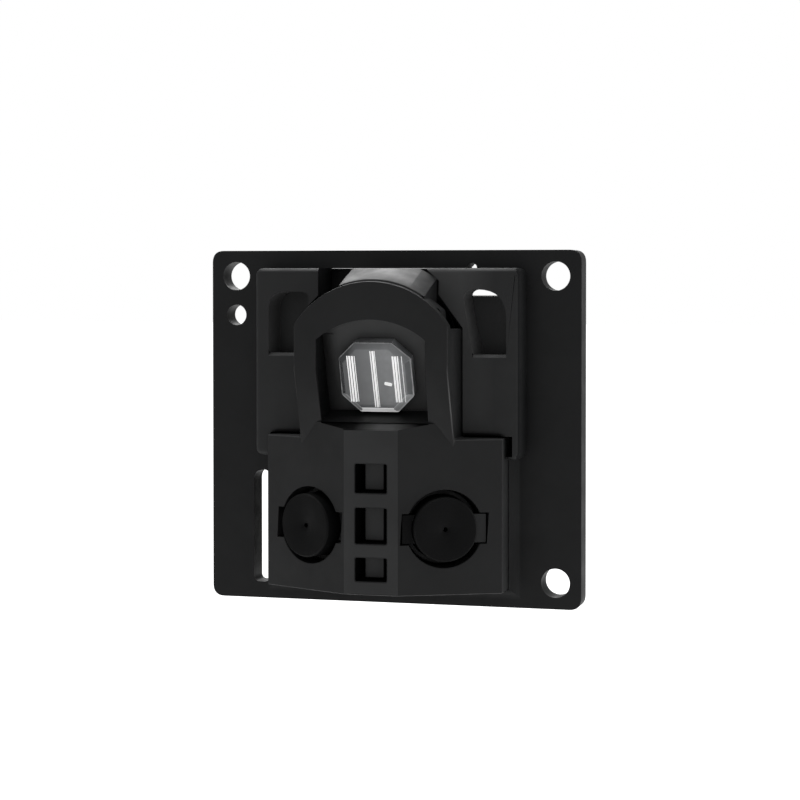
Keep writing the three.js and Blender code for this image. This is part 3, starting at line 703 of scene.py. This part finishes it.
def drafted(wide, narrow):
    """A pocket tool with sloping walls, down to the plate's front."""
    return loft([(rounded(wide), DECK_FRONT - 0.01), (rounded(narrow), PLATE_FRONT)])


def pocket_sill(x0, x1):
    place = Matrix.Translation((0, DECK_FRONT + 0.25, 6.2)) @ rotation(45, "X")
    return box((x0, -1, 0), (x1, 0, 0.5), place)


def block_cove():
    """The hollow fillet in which the plate rises to the camera block."""
    rings = []
    for step in range(9):
        turn = math.radians(90 * step / 8)
        out = BLOCK_HALF + 0.05 + COVE * (1 - math.sin(turn))
        drop = BLOCK_BOTTOM - 0.05 - COVE * (1 - math.sin(turn))
        outline = rectangle(-out, drop, out, -2.3)
        rings.append((outline, PLATE_FRONT - COVE * (1 - math.cos(turn))))
    outline, level = rings[0]
    return loft([(outline, level + 1)] + rings)


def tower_opening(top):
    return [
        (-6.65, BLOCK_BOTTOM),
        (6.55, BLOCK_BOTTOM),
        (6.55, 8.35),
        (4.5, 11.1),
        (4.55, 12.2),
        (3.4, 13.25),
        (3.4, top),
        (-5.85, top),
        (-5.85, 11),
        (-6.65, 10.2),
    ]


def deck():
    right = [
        (9.9, DECK_BOTTOM, 0),
        (9.9, -2.4, 0.7),
        (DECK_HALF, -2.4, 0.7),
        (DECK_HALF, DECK_TOP, 0.7),
    ]
    piece = prism(rounded(right + mirrored(right)), DECK_FRONT, PLATE_FRONT + 0.8)
    return soften(piece, 0.4, segments=4, clamp=True)


def front_plate():
    plate = prism(
        rectangle(-PLATE_HALF_X, -PLATE_HALF_Z, PLATE_HALF_X, PLATE_HALF_Z, 1),
        PLATE_FRONT,
        0,
        name="front_plate_body",
    )
    over, under = DECK_FRONT - 1, 1
    holes = [(-13.85, 12.6, 1.2), (13.85, 12.6, 1.2), (13.85, -12.6, 1.2), (-13.85, 9.3, 0.875)]
    slot = rounded(
        [(-12.3, -13.4, 0.5), (-10.9, -13.4, 0.5), (-10.9, -3.85, 0.5), (-12.3, -3.85, 0.85)]
    )
    edge = BLOCK_HALF + SEAM
    tools = [prism(circle(x, z, radius), over, under) for x, z, radius in holes]
    tools += [
        prism(rectangle(-edge, BLOCK_BOTTOM - SEAM, edge, DECK_BOTTOM), over, under),
        prism(tower_opening(DECK_TOP), over, under),
        prism(tower_opening(PLATE_HALF_Z), over, PLATE_FRONT),
        drafted(pocket(11.5, 2.4), pocket(11.5, 2.4, 0.4)),
        drafted(left_pocket(), left_pocket(0.5)),
        prism(rectangle(6.45, 10.95, 9.4, 11.5), PLATE_FRONT - 0.1, under),
        pocket_sill(7.35, 10.2),
        pocket_sill(-10.2, -7.35),
        prism(slot, over, under),
        prism(arc(6.8, DECK_TOP, 0.42, 0, 180, 16), over, under),
        prism(rectangle(9.95, -2.15, 10.7, DECK_BOTTOM), over, -1),
        prism(rectangle(-11.1, -13.45, 10.75, 13.4), -0.3, under),
    ]
    tools += [prism(circle(x, z, 0.63, 24), PLATE_FRONT - 0.8, under) for x, z in PLATE_SCREWS]
    marks = ((13.3, 6), (13.3, -6), (-13.6, -2))
    tools += [prism(circle(x, z, 0.9, 40), -0.06, under) for x, z in marks]
    join(plate, deck(), block_cove())
    cut(plate, *tools)

    def stays_sharp(middle):
        return middle.y < -2.3 or abs(middle.x) < BLOCK_HALF + 0.2 and middle.z < -2.2

    smooth(soften(tidy_mesh(plate), 0.09, spare=stays_sharp))
    show(plate, "base", plate_black, ["front_plate"])

    def on_deck(centre, normal):
        return centre.y < -2.6 and centre.z > -2.6 and abs(centre.x) < DECK_HALF + 0.1

    def deck_side(centre, normal):
        return on_deck(centre, normal) and normal.x > 0.25 and centre.x > 10.9

    def in_pocket(centre, normal):
        inside = 6.4 < abs(centre.x) < 10.25 and 6.15 < centre.z < 11.55
        return inside and -4.0 < centre.y < -1.95 and normal.z < 0.6

    def beside_block_wall(centre, normal):
        near = BLOCK_HALF < abs(centre.x) < BLOCK_HALF + 1
        return near and -2.95 < centre.y < -2.02 and centre.z < -2.4

    # painted light: the deck faces take a lighter tone than the rest of the plate
    paint(plate, deck_painted_light, on_deck)
    # painted light: the right deck's front faces lighter towards the tower
    paint(
        plate,
        deck_lit,
        lambda centre, normal: on_deck(centre, normal) and centre.x > 0 and normal.y < -0.9,
    )
    # painted shade on the deck's right side
    paint(plate, deck_side_painted_shade, deck_side)
    # painted light inside the pockets, lighter still on the walls that face +x
    paint(plate, pocket_painted_light, in_pocket)
    paint(plate, pocket_wall_painted_light, lambda centre, normal: in_pocket(centre, normal) and normal.x > 0.2)
    # painted light on the cove beside the block's sides
    paint(plate, cove_painted_light, beside_block_wall)
    return plate


# ---------------------------------------------------------------- optical block


def block_outline(half):
    def front(x):
        return proud(EDGE_PROUD + (BLOCK_HALF - x) * math.tan(CAMERA_TURN))

    return [
        (-half, front(half)),
        (-MIDDLE_HALF, front(MIDDLE_HALF)),
        (MIDDLE_HALF, front(MIDDLE_HALF)),
        (half, front(half)),
        (half, FRAME_WALL),
        (-half, FRAME_WALL),
    ]


def rear_outline(inset):
    half, bottom, top, corner = 10.6 - inset, -13.3 + inset, 10.95 - inset, 0.8
    return rounded(
        [
            (-half, bottom, corner),
            (half, bottom, corner),
            (half, top, corner),
            (4.9 - inset, top, 0),
            (4.9 - inset, 13.25 - inset, corner),
            (-half, 13.25 - inset, corner),
        ]
    )


def tower_front(grow=0.0, shift=0.0):
    """The tower's front as a deep solid, upright above the crease and leaning back below it."""
    outline = arch(TOWER_HALF + grow, -1.3 - grow, TOWER_ARC, TOWER_RADIUS + grow)
    place = Matrix.Translation((0, shift, 0))
    front = prism(outline, proud(TOWER_PROUD), PLATE_FRONT, place)
    return cut(front, box((-12, -12, -12), (12, 0, 12), place @ LASER_FRAME))


def hood():
    """The part that slopes up from the arch to the deck, along the laser's direction."""
    start, end = (math.degrees(math.acos(x / TOWER_RADIUS)) for x in (HOOD_RIGHT, HOOD_LEFT))
    outline = [(HOOD_LEFT, TOWER_ARC), (HOOD_RIGHT, TOWER_ARC)]
    outline += arc(0, TOWER_ARC, TOWER_RADIUS, start, end, 32)
    slope = math.tan(TOWER_LEAN)
    front = proud(TOWER_PROUD)
    shear = Matrix(((1, 0, 0, 0), (0, 1, 0, 0), (0, slope, 1, -slope * front), (0, 0, 0, 1)))
    piece = prism(outline, front + TOWER_SHELL / 2, DECK_FRONT - 0.05, shear)
    return keep(piece, box((-20, -20, 0), (20, 20, HOOD_TOP)))


def leaning_tower():
    tower = cut(tower_front(), tower_front(0.5, TOWER_SHELL))
    housing = keep(tower_front(), box((-5.5, -1, -8), (5.5, 4.5, 12), LASER_FRAME))
    walls = []
    for low, high in ((-TOWER_HALF, -5.4), (5.4, TOWER_HALF)):
        walls.append(keep(tower_front(), box((low, -20, -1.3), (high, 0, TOWER_WALL_TOP))))
    body = prism(arch(5, -6, 0, 5.001), 2, 14, LASER_FRAME)
    keep(body, box((-20, -20, BLOCK_TOP - 1), (20, FRAME_WALL, HOOD_TOP)))
    return join(tower, housing, *walls, hood(), body)


def window_tools():
    front = proud(EDGE_PROUD + (BLOCK_HALF - MIDDLE_HALF) * math.tan(CAMERA_TURN))
    tools = []
    for low, high in ((-4.91, -2.56), (-9.02, -6.11), (-12.05, -10.15)):
        pocket_tool = box((-1.32, front - 1, low), (1.32, front + 2.8, high))
        island = box((-0.8, front + 1.05, low + 0.16), (0.82, front + 3, high + 0.1))
        tools.append(cut(pocket_tool, island))
    return tools


def camera_tools(side):
    place = camera_frame(side)
    near, far = (-3.3, 3.9) if side > 0 else (-3.9, 3.3)
    return [
        rod(3.15, -1, 5, place, 96),
        box((-3.58, -1, -1.275), (3.58, 5, 1.275), place),
        box((near, 4.55, -4.3), (far, 14, 4.3), place),
    ]


def laser_tools():
    radius, deep = 1.1, RECESS_DEPTH + 1.1
    side = [(-4.55, 2.4), (radius - 4.55, 2.4)]
    side += arc(radius - 4.55, deep, radius, 270, 180, 12)
    foot = [(RECESS_DEPTH, -3.26), (0, -3.26), (0, -4.3), (deep, -4.3)]
    foot += arc(deep, radius - 4.3, radius, 270, 180, 12)[1:]
    return [
        column(side, -4.3, 3.4, LASER_FRAME),
        beam(foot, -4.55, 4.55, LASER_FRAME),
        prism(arch(4.55, -3.36, -2.6, 7.6), -4, RECESS_DEPTH, LASER_FRAME),
        rod(3, 2, 4.3, LASER_FRAME, 96),
        rod(4.05, 4.25, 12.3, LASER_FRAME, 96),
    ]


def optical_block():
    block = column(block_outline(BLOCK_HALF), BLOCK_BOTTOM, BLOCK_TOP, name="optical_block_body")
    neck = column(block_outline(TOWER_HALF), BLOCK_TOP - 1, NECK_TOP)
    rear = cut(
        prism(rear_outline(0), -0.25, FRAME_BACK),
        prism(rear_outline(FRAME_WALL), FRAME_WALL, FRAME_BACK + 1),
    )
    posts = [prism(circle(x, z, 1.5, 48), 0.6, FRAME_BACK) for x, z in BOARD_SCREWS]
    join(block, neck, leaning_tower(), rear, *posts)
    pilots = [prism(circle(x, z, 0.63, 24), 1.4, FRAME_BACK + 1) for x, z in BOARD_SCREWS]
    clearances = [prism(circle(x, z, 0.75, 24), -1, FRAME_WALL + 1) for x, z in PLATE_SCREWS]
    cut(
        block,
        *camera_tools(-1),
        *camera_tools(1),
        *window_tools(),
        *laser_tools(),
        *pilots,
        *clearances,
    )
    smooth(soften(tidy_mesh(block), 0.09))
    show(block, "base", block_black, ["optical_block"])
    front = proud(EDGE_PROUD + (BLOCK_HALF - MIDDLE_HALF) * math.tan(CAMERA_TURN))
    to_laser = LASER_FRAME.inverted()

    def in_strip(centre, normal):
        middle = abs(centre.x) < MIDDLE_HALF + 0.1 and normal.y < -0.995
        return middle and centre.z < 0.75 and centre.y < -7

    def in_recess(centre, normal):
        place = to_laser @ centre
        return 2.3 < place.y < 2.6 and abs(place.x) < 4.6 and abs(place.z) < 5.5

    def in_slots(centre, normal):
        inside = centre.y > front + 0.15 and abs(centre.x) < 1.4 and -12.1 < centre.z < -2.5
        return inside and not (normal.y < -0.9 and centre.x > -0.85 and centre.y < front + 1.2)

    def on_lip(centre, normal):
        facing_up = abs(centre.x) < TOWER_HALF and normal.z > 0.3
        return facing_up and -0.5 < centre.z < 1 and centre.y < -7.15

    def on_shoulder(centre, normal):
        return normal.z > 0.3 and -0.8 < centre.z < -0.5 and centre.y < 1

    def on_tower_edge(centre, normal):
        beside = TOWER_HALF - 0.12 < abs(centre.x) < TOWER_HALF + 0.01
        return beside and abs(normal.x) > 0.2 and normal.y < -0.2 and -1 < centre.z < 8.5

    def on_side(centre, normal):
        return normal.x > 0.9 and abs(centre.x - BLOCK_HALF) < 0.1 and centre.y < -2

    # painted light on the block's right side wall
    paint(block, block_side_painted_light, on_side)
    # painted light on the centre strip
    paint(block, strip_painted_light, in_strip)
    # painted shade in the laser recess
    paint(block, recess_painted_shade, in_recess)
    # painted shade in the window slots
    paint(block, slot_painted_shade, in_slots)
    # painted highlight and shade on the lip below the recess
    paint(block, lip_painted_highlight, on_lip)
    # painted light on the block's shoulders
    paint(block, shoulder_painted_light, on_shoulder)
    # painted highlight on the tower's front edges
    paint(block, tower_edge_painted_highlight, on_tower_edge)
    return block


# ---------------------------------------------------------------- line lens


def line_lens():
    outline = octagon(6.1, 1.45)
    back = RECESS_DEPTH - RUNNING
    lens = prism(outline, 1.55, back, name="line_lens_body", place=LASER_FRAME)
    front = loft([(octagon(5.2, 1.24), 1.1), (outline, 1.6)], LASER_FRAME)
    spigot = rod(2.95, 1.6, 4.25, LASER_FRAME, 96)
    join(lens, front, spigot)
    smooth(soften(tidy_mesh(lens), 0.07))
    show(lens, "laser", lens_painted_light, ["line_lens"])
    to_laser = LASER_FRAME.inverted()

    def at_foot(centre, normal):
        place = to_laser @ centre
        return place.y < 1.56 and place.z < -2.5 and abs(place.x + 0.1) < 1.9

    def at_corner(centre, normal):
        place = to_laser @ centre
        lean = to_laser.to_3x3() @ normal
        return place.y < 1.6 and place.z < -1.2 and abs(lean.x) > 0.15 and lean.z < -0.15

    # painted highlight: a glowing near-white bar along the lens's foot, and lighter lower corner facets
    paint(lens, rib_painted_highlight, at_foot)
    paint(lens, facet_painted_highlight, at_corner)
    ridges = None
    # the ribs are real flutes; their glowing near-white colour is a painted highlight
    for x, half, offsets in LENS_RIDGES:
        for offset, radius in offsets:
            place = LASER_FRAME @ Matrix.Translation((x + offset, 1.12, 0))
            ridge = column(circle(0, 0, radius, 16), -half, half, place, "line_lens_ribs")
            ridges = ridge if ridges is None else join(ridges, ridge)
    # painted glint: a small white patch joined onto the ribs
    painted_glint = LASER_FRAME @ Matrix.Translation((1.1, 1.12, -0.42)) @ rotation(12, "Y")
    join(ridges, prism(rectangle(-0.32, -0.14, 0.32, 0.14, 0.1), -0.03, 0.3, painted_glint))
    smooth(ridges)
    return show(ridges, "laser", rib_painted_highlight)


# ---------------------------------------------------------------- cameras


def camera_barrel(word, side):
    r = BARREL_RADIUS
    profile = [
        (0.19, -0.4),
        (0.36, -0.48),
        (0.6, -0.6),
        (r - 0.12, -0.6),
        (r, -0.48),
        (r, 3.6),
        (1.9, 3.6),
        (1.9, 0.7),
        (1.2, 0.7),
        (0.3, -0.28),
        (0.19, -0.3),
    ]
    barrel = turned(profile, camera_frame(side), name=f"camera_barrel_{word}_body")
    smooth(barrel)
    return show(barrel, f"barrel_{word}", barrel_black, [f"camera_barrel_{word}"])


def camera_holder(word, side):
    place = camera_frame(side)
    low, high = (-3.05, 3.2) if side > 0 else (-3.2, 3.05)
    holder = rod(3, 1.7, 4.7, place, 96, f"camera_holder_{word}_body")
    join(
        holder,
        box((-3.45, 0.12 if side > 0 else 0.9, -1.15), (3.45, 4.7, 1.15), place),
        box((low, 4.6, -3.2), (high, 6.1, 3.2), place),
    )
    cut(
        holder,
        rod(2.65, -1, 4.4, place, 96),
        rod(1.9, 4, 5.5, place),
        box((-2.2, 4.95, -2.2), (2.2, 7, 2.2), place),
    )
    smooth(soften(tidy_mesh(holder), 0.06))
    show(holder, "base", holder_black, [f"camera_holder_{word}"])
    to_camera = place.inverted()
    # painted shade: the holder's faces past x -2.6 take the barrel's near-black
    paint(holder, barrel_black, lambda centre, normal: (to_camera @ centre).x < -2.6)
    return holder


# ---------------------------------------------------------------- the circuit board's side


def softened(name, width, material):
    """A CAD node's own shape with its edges rounded."""
    piece = bpy.data.objects.new(f"{name}_body", frame["nodes"][name].data.copy())
    bpy.context.scene.collection.objects.link(piece)
    smooth(soften(tidy_mesh(piece), width))
    return show(piece, "base", material, [name])


def chip(name, x, z, width, height, thickness):
    """A moulded chip with sloping sides and a dimple by its first pin."""

    def ring(inset, y):
        low = (x - width / 2 + inset, z - height / 2 + inset)
        high = (x + width / 2 - inset, z + height / 2 - inset)
        return rectangle(*low, *high, 0.08), y

    top = BOARD_BACK + thickness
    parting = BOARD_BACK + 0.45 * thickness
    rings = [ring(0.1, BOARD_BACK), ring(0, parting), ring(0.12, top - 0.03), ring(0.16, top)]
    piece = loft(rings, name=f"{name}_body")
    pin_one = circle(x + width / 2 - 0.55, z + height / 2 - 0.55, 0.22, 24)
    dimple = prism(pin_one, top - 0.06, top + 1)
    smooth(cut(piece, dimple), 40)
    return show(piece, "base", chip_black, [name])


# A gull-wing lead seen from its side: (out from the chip, up from the board).
LEAD = [
    (-0.02, 0.45),
    (0.14, 0.45),
    (0.24, 0.12),
    (0.5, 0.12),
    (0.5, 0),
    (0.16, 0),
    (0.06, 0.33),
    (-0.02, 0.33),
]


def add_prism(bm, outline, place, low, high):
    """Adds an (out, up) outline, extruded across from low to high, to a mesh."""
    loops = [
        [bm.verts.new(place @ Vector((across, up, out))) for out, up in outline]
        for across in (low, high)
    ]
    bm.faces.new(loops[0])
    bm.faces.new(loops[1][::-1])
    for i in range(len(outline)):
        j = (i + 1) % len(outline)
        bm.faces.new((loops[0][i], loops[0][j], loops[1][j], loops[1][i]))


def chip_leads():
    """Gull-wing leads round the chips, and the cable socket's solder tails."""
    bm = bmesh.new()
    rows = [
        (0, -1.2, 3.5, 3.5, (0, 90, 180, 270), 12, 0.5, 0.11),
        (-6.6, -3.6, 2, 2.5, (90, 270), 6, 0.75, 0.15),
        (1.2, 7.2, 1.5, 1.5, (0, 180), 4, 0.7, 0.14),
        (6.4, 2.2, 1.5, 1.5, (90, 270), 3, 0.9, 0.18),
        (0, -10.9, 2, 2, (0,), 4, 1.25, 0.2),
    ]
    for x, z, half_x, half_z, turns, count, pitch, half in rows:
        for turn in turns:
            reach = half_x if turn % 180 else half_z
            place = Matrix.Translation((x, BOARD_BACK, z)) @ rotation(turn, "Y")
            place = place @ Matrix.Translation((0, 0, reach - 0.1))
            for index in range(count):
                across = (index - (count - 1) / 2) * pitch
                add_prism(bm, LEAD, place, across - half, across + half)
    piece = make("chip_leads", bm)
    smooth(soften(piece, 0.02, segments=1))
    return show(piece, "base", tinned)


SMALL_PARTS = [(x, -6.7, 0) for x in (-3.4, -2.0, -0.6, 0.8, 2.2, 3.6)]
SMALL_PARTS += [(9.3, z, 90) for z in (-6.2, -4.6, -3.0, -1.4, 0.2, 1.8, 3.4, 5.0)]
SMALL_PARTS += [(-9.6, z, 90) for z in (-6.0, -4.4, -2.8, -1.2, 0.4, 2.0, 3.6, 5.2)]
SMALL_PARTS += [(x, 11.2, 0) for x in (-6.4, -5.0, -3.6, -2.2, -0.8, 0.6, 2.0, 3.4)]
SMALL_PARTS += [(x, 6.4, 0) for x in (-7.0, -5.8, -4.6, -3.4, -2.2)]
SMALL_PARTS += [(x, 7.6, 90) for x in (4.4, 6.0)]
SMALL_PARTS += [(4.4, z, 0) for z in (-6.4, -0.6)]


def small_parts():
    """Rows of small resistors and capacitors with tinned ends."""
    meshes = {"resistors": bmesh.new(), "capacitors": bmesh.new(), "part_ends": bmesh.new()}
    for index, (x, z, turn) in enumerate(SMALL_PARTS):
        place = Matrix.Translation((x, BOARD_BACK, z)) @ rotation(turn, "Y")
        tall = 0.5 if index % 3 else 0.35
        kind = "capacitors" if index % 3 else "resistors"
        body = [(-0.32, 0), (0.32, 0), (0.32, tall - 0.03), (-0.32, tall - 0.03)]
        add_prism(meshes[kind], body, place, -0.24, 0.24)
        for side in (-1, 1):
            near, far = sorted((side * 0.3, side * 0.52))
            end = [(near, 0), (far, 0), (far, tall), (near, tall)]
            add_prism(meshes["part_ends"], end, place, -0.26, 0.26)
    finishes = {
        "resistors": ("chip_plastic", chip_black),
        "capacitors": ("tantalum", ceramic_tan),
        "part_ends": ("steel", tinned),
    }
    for name, bm in meshes.items():
        piece = make(name, bm)
        smooth(soften(piece, 0.05))
        slot, material = finishes[name]
        show(piece, "base", material)


RING_RISE = 0.04
TRACK_SINK = 0.01
TRACK_RISE = 0.022
TRACK_STEP = 0.0011  # each stretch stands this much above the one before
TRACK_SPREAD = 0.0037  # neighbouring tracks differ in height by this much


def board_rings():
    """Bare metal rings under the board screws, and a few test points."""
    rings = None
    spots = [(x, z, 0.86, 1.75) for x, z in BOARD_SCREWS]
    spots += [(x, -7.9, 0.12, 0.42) for x in (-3, -1.8, -0.6, 0.6, 1.8, 3)]
    spots += [(x, 4.2, 0.12, 0.42) for x in (-2.4, -1.2, 0, 1.2, 2.4)]
    for x, z, inner, outer in spots:
        top = BOARD_BACK + RING_RISE
        profile = [(inner, BOARD_BACK), (outer, BOARD_BACK), (outer - 0.02, top), (inner, top)]
        ring = turned(profile, Matrix.Translation((x, 0, z)), 40, "board_rings")
        rings = ring if rings is None else join(rings, ring)
    smooth(rings)
    return show(rings, "base", gold_plate)


def track(bm, points, lift, half=0.09):
    """A raised copper track under the mask, through (x, z) points."""
    for (x0, z0), (x1, z1) in zip(points, points[1:]):
        run = Vector((x1 - x0, z1 - z0))
        heading = Matrix.Rotation(math.atan2(run.x, run.y), 4, "Y")
        place = Matrix.Translation((x0, BOARD_BACK, z0)) @ heading
        length, top = run.length, TRACK_RISE + lift
        lift += TRACK_STEP
        outline = [(-half, -TRACK_SINK), (length + half, -TRACK_SINK), (length + half, top), (-half, top)]
        add_prism(bm, outline, place, -half, half)


def board_tracks():
    """Copper tracks that fan out from the chips, the socket and the board's top edge."""
    runs = []
    for index in range(6):
        step = 0.5 * index
        bend = step / 3
        first, last = -1.25 + step, -3.6 + step
        runs.append([(first, 2.7), (first, 3.4 + bend), (last, 5.7 + bend), (last, 6)])
        runs.append([(first, -5.1), (first, -5.7), (-1.9 + 0.75 * step, -8.4)])
        runs.append([(3.9, -2.45 + step), (4.5, -2.45 + step), (5.1 + step / 2, -3.1 + 1.2 * step)])
        runs.append([(-3.9, -2.7 + step), (-4.3, -2.7 + step), (-4.45, -2.85 + step)])
        runs.append([(-4.2 + step, 10.6), (-4.2 + step, 9.6), (-2.6 + step, 8.2)])
    for offset in (0, 0.45, 0.9):
        side, height = 8.7 + 0.4 * offset, 7.6 + offset
        runs.append([(side, 5.8), (side, 6.6), (7.4, height), (3.0, height)])
    bm = bmesh.new()
    for number, run in enumerate(runs):
        track(bm, run, TRACK_SPREAD * (number % 5))
    return show(make("board_tracks", bm), "base", track_green)


def circuit_side():
    """The circuit board with everything that is soldered or screwed to it."""
    board = softened("main_board", 0.05, board_green)
    paint(board, board_edge, lambda centre, normal: abs(normal.y) < 0.6)
    softened("cable_socket", 0.1, socket_ivory)
    softened("inductor", 0.35, ferrite_grey)
    softened("crystal", 0.2, plain_steel)
    softened("input_capacitor", 0.15, tantalum_ochre)
    softened("output_capacitor", 0.15, tantalum_ochre)
    for index in range(1, 5):
        softened(f"board_screw_{index}", 0.05, plain_steel)
    chip("processor", 0, -1.2, 7, 7, 0.9)
    chip("flash_memory", -6.6, -3.6, 4, 5, 0.8)
    chip("voltage_regulator", 6.4, 2.2, 3, 3, 1)
    chip("laser_driver", 1.2, 7.2, 3, 3, 0.9)
    chip_leads()
    small_parts()
    board_rings()
    board_tracks()


# ---------------------------------------------------------------- camera and light


def view_camera():
    data = bpy.data.cameras.new("view")
    data.sensor_width = 36
    data.lens = 91.57
    data.shift_x = -0.0548
    data.shift_y = -0.1026
    data.clip_start = 0.01
    data.clip_end = 50
    camera = bpy.data.objects.new("view", data)
    bpy.context.scene.collection.objects.link(camera)
    camera.location = Vector((46.85, -165.37, 12.38)) * MM
    direction = Vector((-0.25147, 0.96767, -0.01927))
    camera.rotation_euler = direction.to_track_quat("-Z", "Y").to_euler()
    bpy.context.scene.camera = camera


def area_light(name, place, target, size, power):
    data = bpy.data.lights.new(name, "AREA")
    data.shape = "SQUARE"
    data.size = size * MM
    data.energy = power
    light = bpy.data.objects.new(name, data)
    bpy.context.scene.collection.objects.link(light)
    light.location = Vector(place) * MM
    direction = Vector(target) - Vector(place)
    light.rotation_euler = direction.to_track_quat("-Z", "Y").to_euler()
    return light


def only_seen(tree, shader, seen, unseen):
    """A strength that differs between what the camera sees and what lights the object."""
    path = tree.nodes.new("ShaderNodeLightPath")
    strength = tree.nodes.new("ShaderNodeMapRange")
    strength.inputs["To Min"].default_value = unseen
    strength.inputs["To Max"].default_value = seen
    tree.links.new(path.outputs["Is Camera Ray"], strength.inputs["Value"])
    tree.links.new(strength.outputs["Result"], shader)


def studio():
    scene = bpy.context.scene
    scene.view_settings.view_transform = "Standard"
    world = bpy.data.worlds.new("studio")
    scene.world = world
    world.use_nodes = True
    background = world.node_tree.nodes["Background"]
    background.inputs["Color"].default_value = (1, 1, 1, 1)
    only_seen(world.node_tree, background.inputs["Strength"], 1.0, 0.42)
    bm = bmesh.new()
    bmesh.ops.create_grid(bm, x_segments=8, y_segments=8, size=3000)
    floor = make("floor", bm, Matrix.Translation((0, 0, -60)))
    pale = Nodes("pale_floor")
    tint = pale.mix(pale.spread(pale.noise(200), 0, 1), (0.9, 0.9, 0.9), (0.92, 0.92, 0.92))
    floor.data.materials.append(pale.set(Base_Color=tint, Roughness=0.9, Specular_IOR_Level=0.0))
    pale.shader.inputs["Emission Color"].default_value = (1, 1, 1, 1)
    only_seen(pale.tree, pale.shader.inputs["Emission Strength"], 0.9, 0.1)
    area_light("back_top", (-60, 170, 150), (0, 0, 5), 150, 0.31)
    area_light("top", (-45, -20, 260), (0, 0, 0), 170, 0.5)
    area_light("right", (260, 60, 0), (0, 0, 0), 120, 0.25)


dress_nodes()
front_plate()
optical_block()
line_lens()
for word, side in SIDES.items():
    camera_barrel(word, side)
    camera_holder(word, side)
circuit_side()
view_camera()
studio()
